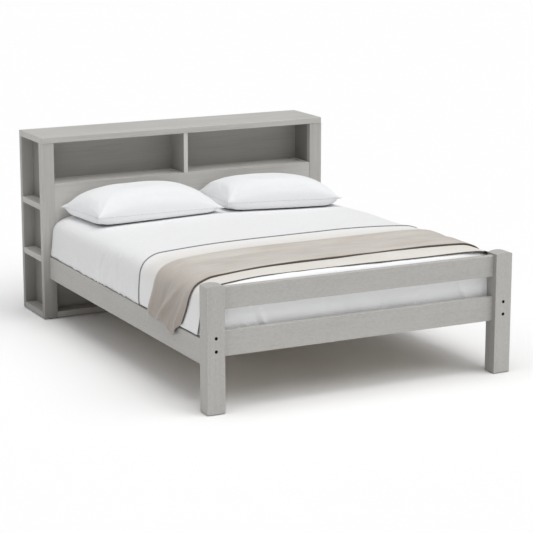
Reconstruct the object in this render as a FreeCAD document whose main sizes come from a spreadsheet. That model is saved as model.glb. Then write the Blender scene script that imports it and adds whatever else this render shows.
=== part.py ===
import FreeCAD, Part
import os
import Sketcher
from FreeCAD import Vector, Placement, Rotation

# Bookcase headboard bed for a 1600 x 2000 mm mattress.
# Frame: +Z up, foot end towards -Y, headboard towards +Y.
# Origin on the floor in the middle of the footprint. Millimetres.

doc = FreeCAD.newDocument("bookcase_headboard_bed")
sheet = doc.addObject("Spreadsheet::Sheet", "dims")

CELLS = [
    ("overall_length", 2455, "foot post front face to back of headboard"),
    ("head_width", 1790, "headboard width"),
    ("head_height", 1050, "floor to top of headboard"),
    ("head_depth", 350, "headboard depth, front stile face to back"),
    ("stile_width", 78, "stile width across the front"),
    ("stile_depth", 37, "front stile depth"),
    ("rear_stile_depth", 32, "rear stile depth"),
    ("thin_panel", 12, "inner sides, rear panel and compartment back"),
    ("top_thick", 34, "top board thickness"),
    ("top_overhang", 4, "top board stands proud of the stiles"),
    ("top_round", 4, "rounding of the top board"),
    ("shelf_thick", 34, "side shelves"),
    ("upper_shelf_top", 667, "upper side shelf, top face"),
    ("lower_shelf_top", 366, "lower side shelf, top face"),
    ("base_thick", 34, "base boards"),
    ("comp_floor", 782, "floor of the two front compartments"),
    ("comp_shelf_thick", 30, "long shelf under the compartments"),
    ("comp_depth", 190, "front face to compartment back"),
    ("divider_thick", 26, "upright between the compartments"),
    ("head_panel_thick", 18, "panel behind the mattress"),
    ("head_panel_setback", 3, "panel behind the stile faces"),
    ("head_panel_low", 237, "lower edge of the panel"),
    ("web_setback", 108, "inner web behind the stile faces"),
    ("plinth_setback", 8, "long base board behind the stile faces"),
    ("glide_height", 4, "floor glides"),
    ("glide_radius", 14, "floor glides"),
    ("foot_width", 1720, "across the foot posts"),
    ("post_width", 95, "foot post across the bed"),
    ("post_depth", 85, "foot post along the bed"),
    ("post_height", 628, "foot post, top at its sides"),
    ("post_crown", 8, "rise of the arched post top"),
    ("rail_setback", 30, "foot rails behind the post fronts"),
    ("rail_thick", 28, "foot and side rails"),
    ("top_rail_low", 509, "top foot rail, lower edge"),
    ("top_rail_high", 620, "top foot rail, upper edge"),
    ("low_rail_low", 277, "lower foot rail, lower edge"),
    ("low_rail_high", 403, "lower foot rail, upper edge"),
    ("side_rail_low", 237, "side rail, lower edge"),
    ("side_rail_high", 363, "side rail, upper edge"),
    ("side_rail_inset", 2, "side rail inside the post's outer face"),
    ("bolt_low", 313, "lower foot bolt height"),
    ("bolt_high", 378, "upper foot bolt height"),
    ("bolt_bore", 17, "recess for the bolt head, diameter"),
    ("bolt_bore_depth", 11, "recess depth"),
    ("bolt_hole", 9, "through hole"),
    ("bolt_dia", 8, "bolt shank"),
    ("bolt_head", 16.4, "bolt head diameter"),
    ("ledge_size", 30, "slat ledge section"),
    ("ledge_top", 312, "slat ledge, top face"),
    ("slat_thick", 18, "slat thickness"),
    ("slat_width", 70, "slat width"),
    ("slat_half", 824, "half the slat length"),
    ("slat_first", 160, "first slat from the foot post front"),
    ("slat_pitch", 154, "slat spacing"),
    ("beam_width", 70, "centre beam"),
    ("beam_height", 32, "centre beam"),
    ("leg_size", 45, "centre legs"),
    ("leg_front", 1042, "front centre leg from the foot post front"),
    ("leg_rear", 1658, "rear centre leg"),
    ("plate_thick", 3, "steel plates"),
    ("mattress_half", 800, "half the mattress width"),
    ("mattress_foot", 108, "mattress foot end"),
    ("mattress_head", 2104, "mattress head end"),
    ("mattress_low", 330, "mattress underside"),
    ("mattress_high", 572, "mattress top"),
    ("duvet_half", 852, "half the duvet's width as it hangs"),
    ("duvet_gap", 2, "gap between duvet and mattress"),
    ("duvet_foot", 94, "duvet foot end"),
    ("duvet_head", 2098, "duvet head end"),
    ("duvet_low", 366, "duvet hem"),
    ("duvet_high", 618, "duvet top"),
    ("blanket_half", 857, "half the blanket's width as it hangs"),
    ("blanket_thick", 4, "blanket thickness"),
    ("blanket_foot", 140, "blanket foot edge"),
    ("blanket_head", 905, "blanket head edge"),
    ("blanket_low", 368, "blanket hem"),
    ("blanket_high", 623, "blanket top"),
    ("throw_half", 868, "half the throw's width as it hangs"),
    ("throw_thick", 7, "throw thickness"),
    ("throw_foot", 325, "throw foot edge"),
    ("throw_head", 765, "throw head edge"),
    ("throw_low", 305, "throw hem"),
    ("throw_high", 634, "throw top"),
    ("pillow_in", 7, "pillow's inner end from the middle"),
    ("pillow_out", 803, "pillow's outer end from the middle"),
    ("pillow_foot", 1530, "pillow foot side"),
    ("pillow_head", 2085, "pillow head side"),
    ("pillow_low", 621, "pillow underside"),
    ("pillow_high", 786, "pillow top"),
]
for row, (alias, value, note) in enumerate(CELLS, start=1):
    sheet.set("A%d" % row, note)
    sheet.set("B%d" % row, str(value))
    sheet.setAlias("B%d" % row, alias)
doc.recompute()


def val(alias):
    return float(sheet.get(alias))


def d(text):
    """Expression over the sheet: every known alias gets its sheet prefix."""
    out, word = "", ""
    for ch in str(text) + " ":
        if ch.isalnum() or ch == "_":
            word += ch
        else:
            if word:
                out += ("dims." + word) if word in ALIASES else word
            out += ch
            word = ""
    return out.strip()


ALIASES = {a for a, _, _ in CELLS}
HALF_LEN = "overall_length / 2"
Y_HEAD = "(overall_length - head_depth)"          # headboard front, from the foot
SIDE = {"left": -1, "right": 1}

NODES = {}


def keep(node, obj):
    obj.Label = node
    NODES[node] = obj
    return obj


def block(name, x, y, z, mirror=1):
    """Box between two expressions each way. y is measured from the foot post
    fronts. mirror=-1 puts it on the other side of the middle plane."""
    b = doc.addObject("Part::Box", name)
    b.setExpression("Length", d("(%s) - (%s)" % (x[1], x[0])))
    b.setExpression("Width", d("(%s) - (%s)" % (y[1], y[0])))
    b.setExpression("Height", d("(%s) - (%s)" % (z[1], z[0])))
    b.setExpression("Placement.Base.x", d(x[0]) if mirror > 0 else d("-(%s)" % x[1]))
    b.setExpression("Placement.Base.y", d("(%s) - %s" % (y[0], HALF_LEN)))
    b.setExpression("Placement.Base.z", d(z[0]))
    return b


def rounded(base, radius, pick=None, name=None):
    """Round the chosen edges of a block."""
    doc.recompute()
    edges = []
    bb = base.Shape.BoundBox
    for i, e in enumerate(base.Shape.Edges, start=1):
        a, b = e.Vertexes[0].Point, e.Vertexes[-1].Point
        run = b - a
        axis = max(range(3), key=lambda k: abs(run[k]))
        mid = (a + b) * 0.5
        if pick is None or pick("xyz"[axis], mid, bb):
            edges.append((i, radius, radius))
    f = doc.addObject("Part::Fillet", (name or base.Name + "_rounded"))
    f.Base = base
    f.Edges = edges
    base.Visibility = False
    return f


def along(axis):
    return lambda a, m, bb: a == axis


def solid_group(name, shapes):
    """Several separate solids in one feature."""
    f = doc.addObject("Part::Feature", name)
    f.Shape = Part.makeCompound(shapes)
    return f


def cut(base, tool_shapes, name):
    tool = solid_group(name + "_holes", tool_shapes)
    c = doc.addObject("Part::Cut", name)
    c.Base = base
    c.Tool = tool
    return c


def yy(v):
    return v - val("overall_length") / 2.0


def cyl(p, axis, r, length):
    return Part.makeCylinder(r, length, Vector(p[0], yy(p[1]), p[2]), Vector(*axis))


def brick(x0, x1, y0, y1, z0, z1):
    x0, x1 = min(x0, x1), max(x0, x1)
    return Part.makeBox(x1 - x0, y1 - y0, z1 - z0, Vector(x0, yy(y0), z0))


def screw(p, axis, length, r=2.0, head=4.0, sink=2.4, extra=0.0):
    """Countersunk screw: p is the middle of the flat head, axis points along
    the shank. extra widens it for the hole it sits in."""
    pos, ax = Vector(p[0], yy(p[1]), p[2]), Vector(*axis)
    cone = Part.makeCone(head + extra, r + extra, sink, pos, ax)
    shank = Part.makeCylinder(r + extra, length - sink + extra, pos + ax * sink, ax)
    return cone.fuse(shank).removeSplitter()


def screws(spots, **kw):
    return [screw(p, a, ln, **kw) for p, a, ln in spots]


def sleeves(spots, **kw):
    return [screw(p, a, ln, extra=0.12, **kw) for p, a, ln in spots]


# ---------------------------------------------------------------- positions
HB = val("overall_length") - val("head_depth")    # headboard front
HE = val("overall_length")                        # headboard back
IN = val("head_width") / 2 - val("stile_width")   # inner edge of the stiles
HW = val("head_width") / 2
FW = val("foot_width") / 2
PW = val("post_width")
PD = val("post_depth")
RAIL_OUT = FW - val("side_rail_inset")
RAIL_IN = RAIL_OUT - val("rail_thick")
RAIL_Y0 = val("rail_setback")
RAIL_Y1 = RAIL_Y0 + val("rail_thick")
TOP_Z = val("head_height") - val("top_thick")
FLOOR_Z = val("comp_floor")
BOLT_X = FW - PW / 2
BOLTS_Z = (val("bolt_low"), val("bolt_high"))
SLATS = 13
SLAT_Y = [val("slat_first") + i * val("slat_pitch") for i in range(SLATS)]
PLATE_X = (RAIL_OUT + RAIL_IN) / 2

# ---------------------------------------------------------------- headboard
def stile_edges(a, m, bb):
    return a == "z"


dowel_spots = []          # (point, axis, radius, length)
for s in SIDE.values():
    dowel_spots.append(((s * (HW - 39), HB + 18.5, TOP_Z - 20), (0, 0, 1), 4.0, 40))
    dowel_spots.append(((s * (HW - 39), HE - 16, TOP_Z - 20), (0, 0, 1), 4.0, 40))
for yd in (HB + 60, HB + 145):
    dowel_spots.append(((0, yd, TOP_Z - 15), (0, 0, 1), 4.0, 30))
    dowel_spots.append(((0, yd, FLOOR_Z - 15), (0, 0, 1), 4.0, 30))


def dowel_holes():
    return [Part.makeCylinder(r + 0.1, ln + 0.6, Vector(p[0], yy(p[1]), p[2] - 0.3),
                              Vector(*a)) for p, a, r, ln in dowel_spots]


keep("carcass_dowels", solid_group("carcass_dowels", [cyl(p, a, r, ln) for p, a, r, ln in dowel_spots]))

# hook plates join each side rail to its front stile
plate_screw_z = (val("side_rail_low") + 17, val("side_rail_high") - 13)
hook_z = (val("side_rail_low") + 33, val("side_rail_low") + 83)


def receiver_cut(s):
    x0 = s * (PLATE_X - 11)
    x1 = s * (PLATE_X + 11)
    t = val("plate_thick")
    out = [brick(x0, x1, HB - 1, HB + t, val("side_rail_low") + 9, val("side_rail_high") - 5)]
    for hz in hook_z:
        out.append(brick(s * (PLATE_X - 3), s * (PLATE_X + 3), HB + t - 0.5, HB + t + 14, hz - 8, hz + 26))
    out += sleeves([((s * PLATE_X, HB, z), (0, 1, 0), 28) for z in plate_screw_z])
    return out


batten_screw_spots = []
for s in SIDE.values():
    for z in (300, 500, 700):
        batten_screw_spots.append(((s * (IN - 28), HB + 28, z), (s, 0, 0), 46))
    for z in (280, 480, 680):
        batten_screw_spots.append(((s * (IN - 14), HB + 49, z), (0, -1, 0), 38))
cam_y = (HB + 80, HB + 275)
cam_in = IN - 34

for side, s in SIDE.items():
    front = block("front_stile_blank_" + side, ("head_width / 2 - stile_width", "head_width / 2"),
                  (Y_HEAD, Y_HEAD + " + stile_depth"), ("glide_height", "head_height - top_thick"), s)
    front = rounded(front, 1.6, stile_edges)
    holes = receiver_cut(s) + dowel_holes() + sleeves([b for b in batten_screw_spots if b[1][0] == s])
    keep("front_stile_" + side, cut(front, holes, "front_stile_" + side))

    rear = block("rear_stile_blank_" + side, ("head_width / 2 - stile_width", "head_width / 2"),
                 ("overall_length - rear_stile_depth", "overall_length"),
                 ("glide_height", "head_height - top_thick"), s)
    rear = rounded(rear, 1.6, lambda a, m, bb: a == "z" and abs(abs(m.x) - HW) < 1)
    keep("rear_stile_" + side, cut(rear, dowel_holes(), "rear_stile_" + side))

    inner = block("inner_side_blank_" + side,
                  ("head_width / 2 - stile_width", "head_width / 2 - stile_width + thin_panel"),
                  (Y_HEAD + " + stile_depth", "overall_length - rear_stile_depth"),
                  ("glide_height", "head_height - top_thick"), s)
    cam_holes = [cyl((s * (IN - 1), y, FLOOR_Z - 15), (s, 0, 0), 2.6, 10.4) for y in cam_y]
    keep("inner_side_" + side, cut(inner, cam_holes, "inner_side_" + side))

    for name, top in (("upper_shelf_", "upper_shelf_top"), ("lower_shelf_", "lower_shelf_top"),
                      ("side_base_", "glide_height + base_thick")):
        thick = "base_thick" if name == "side_base_" else "shelf_thick"
        b = block(name + "blank_" + side,
                  ("head_width / 2 - stile_width + thin_panel", "head_width / 2"),
                  (Y_HEAD + " + stile_depth", "overall_length - rear_stile_depth"),
                  ("%s - %s" % (top, thick), top), s)
        b = rounded(b, 1.6, lambda a, m, bb: a == "y" and abs(abs(m.x) - HW) < 1)
        keep(name + side, b)

# top board: a sketched rectangle, padded, with its corners and edges rounded
top = doc.addObject("PartDesign::Body", "headboard_top")
plane = [f for f in top.Origin.OriginFeatures if f.Role == "XY_Plane"][0]
sk = top.newObject("Sketcher::SketchObject", "top_outline")
sk.AttachmentSupport = [(plane, "")]
sk.MapMode = "FlatFace"
hw, dy = HW, val("head_depth") + val("top_overhang")
sk.addGeometry([Part.LineSegment(Vector(-hw, 0, 0), Vector(hw, 0, 0)),
                Part.LineSegment(Vector(hw, 0, 0), Vector(hw, dy, 0)),
                Part.LineSegment(Vector(hw, dy, 0), Vector(-hw, dy, 0)),
                Part.LineSegment(Vector(-hw, dy, 0), Vector(-hw, 0, 0))], False)
for i in range(4):
    sk.addConstraint(Sketcher.Constraint("Coincident", i, 2, (i + 1) % 4, 1))
for i, kind in ((2, "Horizontal"), (1, "Vertical"), (3, "Vertical")):
    sk.addConstraint(Sketcher.Constraint(kind, i))
sk.addConstraint(Sketcher.Constraint("Symmetric", 0, 1, 0, 2, -2))
sk.addConstraint(Sketcher.Constraint("PointOnObject", 0, 1, -1))
c = sk.addConstraint(Sketcher.Constraint("DistanceX", 0, 1, 0, 2, 2 * hw))
sk.renameConstraint(c, "across")
c = sk.addConstraint(Sketcher.Constraint("DistanceY", 1, 1, 1, 2, dy))
sk.renameConstraint(c, "deep")
sk.setExpression("Constraints.across", d("head_width"))
sk.setExpression("Constraints.deep", d("head_depth + top_overhang"))
pad = top.newObject("PartDesign::Pad", "top_pad")
pad.Profile = sk
pad.setExpression("Length", d("top_thick"))
doc.recompute()
corner = top.newObject("PartDesign::Fillet", "top_corners")
corner.Base = (pad, ["Edge%d" % i for i, e in enumerate(pad.Shape.Edges, start=1)
                     if abs(e.Vertexes[0].Z - e.Vertexes[-1].Z) > 1 and e.CenterOfMass.y < 1])
corner.setExpression("Radius", d("top_round * 2.5"))
doc.recompute()
rim = top.newObject("PartDesign::Fillet", "top_rim")
rim.Base = (corner, ["Edge%d" % i for i, e in enumerate(corner.Shape.Edges, start=1)
                     if e.BoundBox.ZMin > val("top_thick") - 0.1])
rim.setExpression("Radius", d("top_round"))
doc.recompute()
rim_low = top.newObject("PartDesign::Fillet", "top_rim_low")
rim_low.Base = (rim, ["Edge%d" % i for i, e in enumerate(rim.Shape.Edges, start=1)
                      if e.BoundBox.ZMax < 0.1])
rim_low.Radius = 1.5
top.Tip = rim_low
top.setExpression("Placement.Base.y", d(Y_HEAD + " - top_overhang - " + HALF_LEN))
top.setExpression("Placement.Base.z", d("head_height - top_thick"))
doc.recompute()
top_link = doc.addObject("Part::Feature", "headboard_top_blank")
top_link.Shape = top.Shape
keep("headboard_top_board", cut(top_link, dowel_holes(), "headboard_top_board"))

keep("compartment_shelf", cut(
    block("compartment_shelf_blank", ("stile_width - head_width / 2", "head_width / 2 - stile_width"),
          (Y_HEAD + " + head_panel_setback + head_panel_thick", "overall_length - thin_panel"),
          ("comp_floor - comp_shelf_thick", "comp_floor")),
    dowel_holes()
    + [cyl((s * cam_in, y, FLOOR_Z - 31), (0, 0, 1), 7.6, 22.2) for s in (-1, 1) for y in cam_y]
    + [cyl((s * cam_in, y, FLOOR_Z - 15), (s, 0, 0), 3.6, 36) for s in (-1, 1) for y in cam_y],
    "compartment_shelf"))

divider = block("divider_blank", ("-divider_thick / 2", "divider_thick / 2"),
                (Y_HEAD + " + head_panel_setback", Y_HEAD + " + comp_depth"),
                ("comp_floor", "head_height - top_thick"))
divider = rounded(divider, 1.5, lambda a, m, bb: a == "z" and m.y < bb.Center.y)
keep("compartment_divider", cut(divider, dowel_holes(), "compartment_divider"))

keep("compartment_back", block("compartment_back",
     ("stile_width - head_width / 2", "head_width / 2 - stile_width"),
     (Y_HEAD + " + comp_depth", Y_HEAD + " + comp_depth + thin_panel"),
     ("comp_floor", "head_height - top_thick")))

hang_x = 50.0
hang_z = (289.0, 316.0)
foot_hang = [((sx * hang_x, RAIL_Y1 + val("plate_thick"), z), (0, -1, 0), 22) for sx in (-1, 1) for z in hang_z]
PANEL_Y = HB + val("head_panel_setback")
head_hang = [((sx * hang_x, PANEL_Y - val("plate_thick"), z), (0, 1, 0), 18) for sx in (-1, 1) for z in hang_z]

panel = block("head_panel_blank", ("stile_width - head_width / 2", "head_width / 2 - stile_width"),
              (Y_HEAD + " + head_panel_setback", Y_HEAD + " + head_panel_setback + head_panel_thick"),
              ("head_panel_low", "comp_floor"))
panel = rounded(panel, 1.5, lambda a, m, bb: a == "x" and m.y < bb.Center.y)
keep("head_panel", cut(panel, sleeves(head_hang) + sleeves([b for b in batten_screw_spots if b[1][1] < 0]),
                       "head_panel"))

batten_parts = []
for s in (-1, 1):
    bb_ = brick(s * (IN - 28), s * IN, HB + 21, HB + 49, 260, 740)
    for h in sleeves([b for b in batten_screw_spots if b[0][0] * s > 0]):
        bb_ = bb_.cut(h)
    batten_parts.append(bb_)
keep("head_panel_battens", solid_group("head_panel_battens", batten_parts))

keep("inner_web_panel", block("inner_web_panel",
     ("stile_width - head_width / 2", "head_width / 2 - stile_width"),
     (Y_HEAD + " + web_setback", Y_HEAD + " + web_setback + head_panel_thick"),
     ("glide_height + base_thick", "comp_floor - comp_shelf_thick")))

back_spots = []
for x in (-780, -520, -260, 0, 260, 520, 780):
    back_spots.append(((x, HE, 22), (0, -1, 0), 30))
    back_spots.append(((x, HE, TOP_Z - 20), (0, -1, 0), 30))
    back_spots.append(((x, HE, FLOOR_Z - 15), (0, -1, 0), 30))
for z in (180, 330, 480, 630):
    back_spots.append(((0, HE, z), (0, -1, 0), 30))
keep("rear_panel_screws", solid_group("rear_panel_screws", screws(back_spots)))
back_holes = sleeves(back_spots)

base = block("base_board_blank", ("stile_width - head_width / 2", "head_width / 2 - stile_width"),
             (Y_HEAD + " + plinth_setback", "overall_length - thin_panel"),
             ("glide_height", "glide_height + base_thick"))
base = rounded(base, 1.5, lambda a, m, bb: a == "x" and m.y < bb.Center.y)
keep("base_board", cut(base, back_holes, "base_board"))
NODES["compartment_shelf"].Label = "compartment_shelf_drilled"
keep("compartment_shelf", cut(NODES["compartment_shelf"], back_holes, "compartment_shelf_final"))

keep("rear_panel", cut(
    block("rear_panel_blank", ("stile_width - head_width / 2", "head_width / 2 - stile_width"),
          ("overall_length - thin_panel", "overall_length"),
          ("glide_height", "head_height - top_thick")), back_holes, "rear_panel"))
keep("rear_top_rail", cut(
    block("rear_top_rail_blank", ("stile_width - head_width / 2", "head_width / 2 - stile_width"),
          ("overall_length - thin_panel - 32", "overall_length - thin_panel"),
          ("head_height - top_thick - 40", "head_height - top_thick")), back_holes, "rear_top_rail"))
keep("rear_centre_batten", cut(
    block("rear_centre_batten_blank", ("-20", "20"),
          ("overall_length - thin_panel - 32", "overall_length - thin_panel"),
          ("glide_height + base_thick", "comp_floor - comp_shelf_thick")), back_holes, "rear_centre_batten"))

# cam locks hold the long shelf between the inner sides
housings, cam_bolts = [], []
for s in (-1, 1):
    for y in cam_y:
        hsg = cyl((s * cam_in, y, FLOOR_Z - 30), (0, 0, 1), 7.5, 20)
        hsg = hsg.cut(cyl((s * cam_in, y, FLOOR_Z - 15), (s, 0, 0), 3.6, 20))
        hsg = hsg.cut(brick(s * cam_in - 5, s * cam_in + 5, y - 0.8, y + 0.8, FLOOR_Z - 30, FLOOR_Z - 28))
        housings.append(hsg)
        bolt = cyl((s * (cam_in + 3), y, FLOOR_Z - 15), (s, 0, 0), 3.5, 31)
        bolt = bolt.fuse(cyl((s * (cam_in + 34), y, FLOOR_Z - 15), (s, 0, 0), 2.5, 9))
        cam_bolts.append(bolt.removeSplitter())
keep("cam_housings", solid_group("cam_housings", housings))
keep("cam_bolts", solid_group("cam_bolts", cam_bolts))

# ---------------------------------------------------------------- foot end
rail_dowels = []
for s in (-1, 1):
    for z in (val("top_rail_low") + 30, val("top_rail_high") - 30,
              val("low_rail_low") + 30, val("low_rail_high") - 30):
        rail_dowels.append(((s * (FW - PW - 30), RAIL_Y0 + 14, z), (s, 0, 0), 5.0, 60))
keep("foot_rail_dowels", solid_group("foot_rail_dowels", [cyl(p, a, r, ln) for p, a, r, ln in rail_dowels]))
dowel_cut = [Part.makeCylinder(r + 0.1, ln + 0.8, Vector(p[0] - a[0] * 0.4, yy(p[1]), p[2]), Vector(*a))
             for p, a, r, ln in rail_dowels]

for side, s in SIDE.items():
    post = doc.addObject("PartDesign::Body", "foot_post_body_" + side)
    xz = [f for f in post.Origin.OriginFeatures if f.Role == "XZ_Plane"][0]
    sk = post.newObject("Sketcher::SketchObject", "post_face_" + side)
    sk.AttachmentSupport = [(xz, "")]
    sk.MapMode = "FlatFace"
    w, h, crown, z0 = PW, val("post_height"), val("post_crown"), val("glide_height")
    arc = Part.Arc(Vector(w / 2, h, 0), Vector(0, h + crown, 0), Vector(-w / 2, h, 0))
    sk.addGeometry([Part.LineSegment(Vector(-w / 2, z0, 0), Vector(w / 2, z0, 0)),
                    Part.LineSegment(Vector(w / 2, z0, 0), Vector(w / 2, h, 0)),
                    arc,
                    Part.LineSegment(Vector(-w / 2, h, 0), Vector(-w / 2, z0, 0))], False)
    sk.addConstraint(Sketcher.Constraint("Coincident", 0, 2, 1, 1))
    sk.addConstraint(Sketcher.Constraint("Coincident", 1, 2, 2, 1))
    sk.addConstraint(Sketcher.Constraint("Coincident", 2, 2, 3, 1))
    sk.addConstraint(Sketcher.Constraint("Coincident", 3, 2, 0, 1))
    sk.addConstraint(Sketcher.Constraint("Vertical", 1))
    sk.addConstraint(Sketcher.Constraint("Vertical", 3))
    sk.addConstraint(Sketcher.Constraint("Symmetric", 0, 1, 0, 2, -2))
    for label, con, expr_ in (
            ("wide", Sketcher.Constraint("DistanceX", 0, 1, 0, 2, w), "post_width"),
            ("base", Sketcher.Constraint("DistanceY", -1, 1, 0, 2, z0), "glide_height"),
            ("high", Sketcher.Constraint("DistanceY", 1, 1, 1, 2, h - z0), "post_height - glide_height"),
            ("equal_sides", Sketcher.Constraint("Equal", 1, 3), None),
            ("arch", Sketcher.Constraint("Radius", 2, ((w / 2) ** 2 + crown ** 2) / (2 * crown)),
             "((post_width / 2) * (post_width / 2) + post_crown * post_crown) / (2 * post_crown)")):
        n = sk.addConstraint(con)
        if expr_:
            sk.renameConstraint(n, label)
            sk.setExpression("Constraints." + label, d(expr_))
    pad = post.newObject("PartDesign::Pad", "post_pad_" + side)
    pad.Profile = sk
    pad.setExpression("Length", d("post_depth"))
    pad.Reversed = True
    doc.recompute()
    bore = post.newObject("Sketcher::SketchObject", "bolt_recess_" + side)
    bore.AttachmentSupport = [(xz, "")]
    bore.MapMode = "FlatFace"
    for k, alias in enumerate(("bolt_low", "bolt_high")):
        bore.addGeometry(Part.Circle(Vector(0, val(alias), 0), Vector(0, 0, 1), val("bolt_bore") / 2), False)
        bore.addConstraint(Sketcher.Constraint("PointOnObject", k, 3, -2))
        n = bore.addConstraint(Sketcher.Constraint("DistanceY", -1, 1, k, 3, val(alias)))
        bore.renameConstraint(n, "height_" + alias)
        bore.setExpression("Constraints.height_" + alias, d(alias))
        n = bore.addConstraint(Sketcher.Constraint("Diameter", k, val("bolt_bore")))
        bore.renameConstraint(n, "size_" + alias)
        bore.setExpression("Constraints.size_" + alias, d("bolt_bore"))
    recess = post.newObject("PartDesign::Pocket", "bolt_recess_cut_" + side)
    recess.Profile = bore
    recess.setExpression("Length", d("bolt_bore_depth"))
    doc.recompute()
    thru = post.newObject("Sketcher::SketchObject", "bolt_hole_" + side)
    thru.AttachmentSupport = [(xz, "")]
    thru.MapMode = "FlatFace"
    for k, alias in enumerate(("bolt_low", "bolt_high")):
        thru.addGeometry(Part.Circle(Vector(0, val(alias), 0), Vector(0, 0, 1), val("bolt_hole") / 2), False)
        thru.addConstraint(Sketcher.Constraint("PointOnObject", k, 3, -2))
        n = thru.addConstraint(Sketcher.Constraint("DistanceY", -1, 1, k, 3, val(alias)))
        thru.renameConstraint(n, "height_" + alias)
        thru.setExpression("Constraints.height_" + alias, d(alias))
        n = thru.addConstraint(Sketcher.Constraint("Diameter", k, val("bolt_hole")))
        thru.renameConstraint(n, "size_" + alias)
        thru.setExpression("Constraints.size_" + alias, d("bolt_hole"))
    hole = post.newObject("PartDesign::Pocket", "bolt_hole_cut_" + side)
    hole.Profile = thru
    hole.Type = 1
    doc.recompute()
    soften = post.newObject("PartDesign::Fillet", "post_edges_" + side)
    names = []
    for i, e in enumerate(hole.Shape.Edges, start=1):
        bb = e.BoundBox
        long_z = bb.ZLength > 400
        top_rim = bb.ZMin > val("post_height") - 1 and bb.XLength > 50
        if long_z or top_rim:
            names.append("Edge%d" % i)
    soften.Base = (hole, names)
    soften.Radius = 2.2
    post.Tip = soften
    post.setExpression("Placement.Base.x", d("(foot_width - post_width) / 2") if s > 0
                       else d("(post_width - foot_width) / 2"))
    post.setExpression("Placement.Base.y", d("-" + HALF_LEN))
    doc.recompute()
    want = PW * PD * (val("post_height") - z0)
    assert post.Shape.Volume < want + PW * PD * val("post_crown"), "post too big"
    body_copy = doc.addObject("Part::Feature", "foot_post_blank_" + side)
    body_copy.Shape = post.Shape
    keep("foot_post_" + side, cut(body_copy, dowel_cut, "foot_post_" + side))

top_rail = block("foot_rail_top_blank", ("post_width - foot_width / 2", "foot_width / 2 - post_width"),
                 ("rail_setback", "rail_setback + rail_thick"), ("top_rail_low", "top_rail_high"))
top_rail = rounded(top_rail, 7, lambda a, m, bb: a == "x" and m.z > bb.Center.z)
top_rail = rounded(top_rail, 2.5, lambda a, m, bb: a == "x" and m.z < bb.ZMin + 1, "top_rail_low_edges")
keep("foot_rail_top", cut(top_rail, dowel_cut, "foot_rail_top"))

low_rail = block("foot_rail_lower_blank", ("post_width - foot_width / 2", "foot_width / 2 - post_width"),
                 ("rail_setback", "rail_setback + rail_thick"), ("low_rail_low", "low_rail_high"))
low_rail = rounded(low_rail, 3.5, along("x"))
keep("foot_rail_lower", cut(low_rail, dowel_cut + sleeves(foot_hang), "foot_rail_lower"))

# ---------------------------------------------------------------- side rails
ledge_spots = {}
slat_spots = []
for y in SLAT_Y:
    for x in (-815.0, 0.0, 815.0):
        slat_spots.append(((x, y + val("slat_width") / 2, val("mattress_low")), (0, 0, -1), 38))
bracket_spots = {}
for side, s in SIDE.items():
    ledge_spots[side] = [((s * (RAIL_IN - 30), 272 + 308 * i, 297), (s, 0, 0), 50) for i in range(6)]
    bracket_spots[side] = [((s * (RAIL_IN - 4), y, z), (s, 0, 0), 24)
                           for y, z in ((108, 312), (132, 312), (120, 342))]

for side, s in SIDE.items():
    rail = block("side_rail_blank_" + side,
                 ("foot_width / 2 - side_rail_inset - rail_thick", "foot_width / 2 - side_rail_inset"),
                 ("post_depth", Y_HEAD), ("side_rail_low", "side_rail_high"), s)
    rail = rounded(rail, 3.5, along("y"))
    holes = sleeves(ledge_spots[side]) + sleeves(bracket_spots[side])
    holes.append(brick(s * (PLATE_X - 11), s * (PLATE_X + 11), HB - val("plate_thick"), HB + 1,
                       val("side_rail_low") + 9, val("side_rail_high") - 5))
    holes += sleeves([((s * PLATE_X, HB, z), (0, -1, 0), 30) for z in plate_screw_z])
    keep("side_rail_" + side, cut(rail, holes, "side_rail_" + side))

    ledge = block("slat_ledge_blank_" + side,
                  ("foot_width / 2 - side_rail_inset - rail_thick - ledge_size",
                   "foot_width / 2 - side_rail_inset - rail_thick"),
                  ("post_depth + 67", Y_HEAD + " - 15"), ("ledge_top - ledge_size", "ledge_top"), s)
    keep("slat_ledge_" + side, cut(ledge, sleeves(ledge_spots[side]) + sleeves(slat_spots),
                                   "slat_ledge_" + side))

    # threaded corner bracket: a leg on the rail and a flange behind the post
    br = brick(s * (RAIL_IN - 35), s * RAIL_IN, PD, PD + 5, 293, 395)
    br = br.fuse(brick(s * (RAIL_IN - 4), s * RAIL_IN, PD + 5, PD + 65, 293, 358)).removeSplitter()
    for z in BOLTS_Z:
        br = br.cut(cyl((s * BOLT_X, PD - 1, z), (0, 1, 0), val("bolt_dia") / 2 + 0.1, 8))
    for h in sleeves(bracket_spots[side]):
        br = br.cut(h)
    keep("corner_bracket_" + side, solid_group("corner_bracket_" + side, [br]))

keep("wood_screws", solid_group("wood_screws", screws(ledge_spots["left"] + ledge_spots["right"] + batten_screw_spots)))

# foot bolts: hexagon socket heads, seen at the bottom of their recesses
bolts = []
seat = val("bolt_bore_depth")
for s in (-1, 1):
    for z in BOLTS_Z:
        b = cyl((s * BOLT_X, seat - 8, z), (0, 1, 0), val("bolt_head") / 2, 8)
        b = b.fuse(cyl((s * BOLT_X, seat, z), (0, 1, 0), val("bolt_dia") / 2, PD + 6 - seat))
        corners = ((1, 0), (0.5, 0.8660254), (-0.5, 0.8660254), (-1, 0),
                   (-0.5, -0.8660254), (0.5, -0.8660254), (1, 0))
        hexa = Part.makePolygon([Vector(s * BOLT_X + 3.5 * cx, yy(seat - 8.5), z + 3.5 * cz)
                                 for cx, cz in corners])
        socket = Part.Face(hexa).extrude(Vector(0, 5.5, 0))
        bolts.append(b.cut(socket).removeSplitter())
keep("foot_bolts", solid_group("foot_bolts", bolts))

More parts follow.
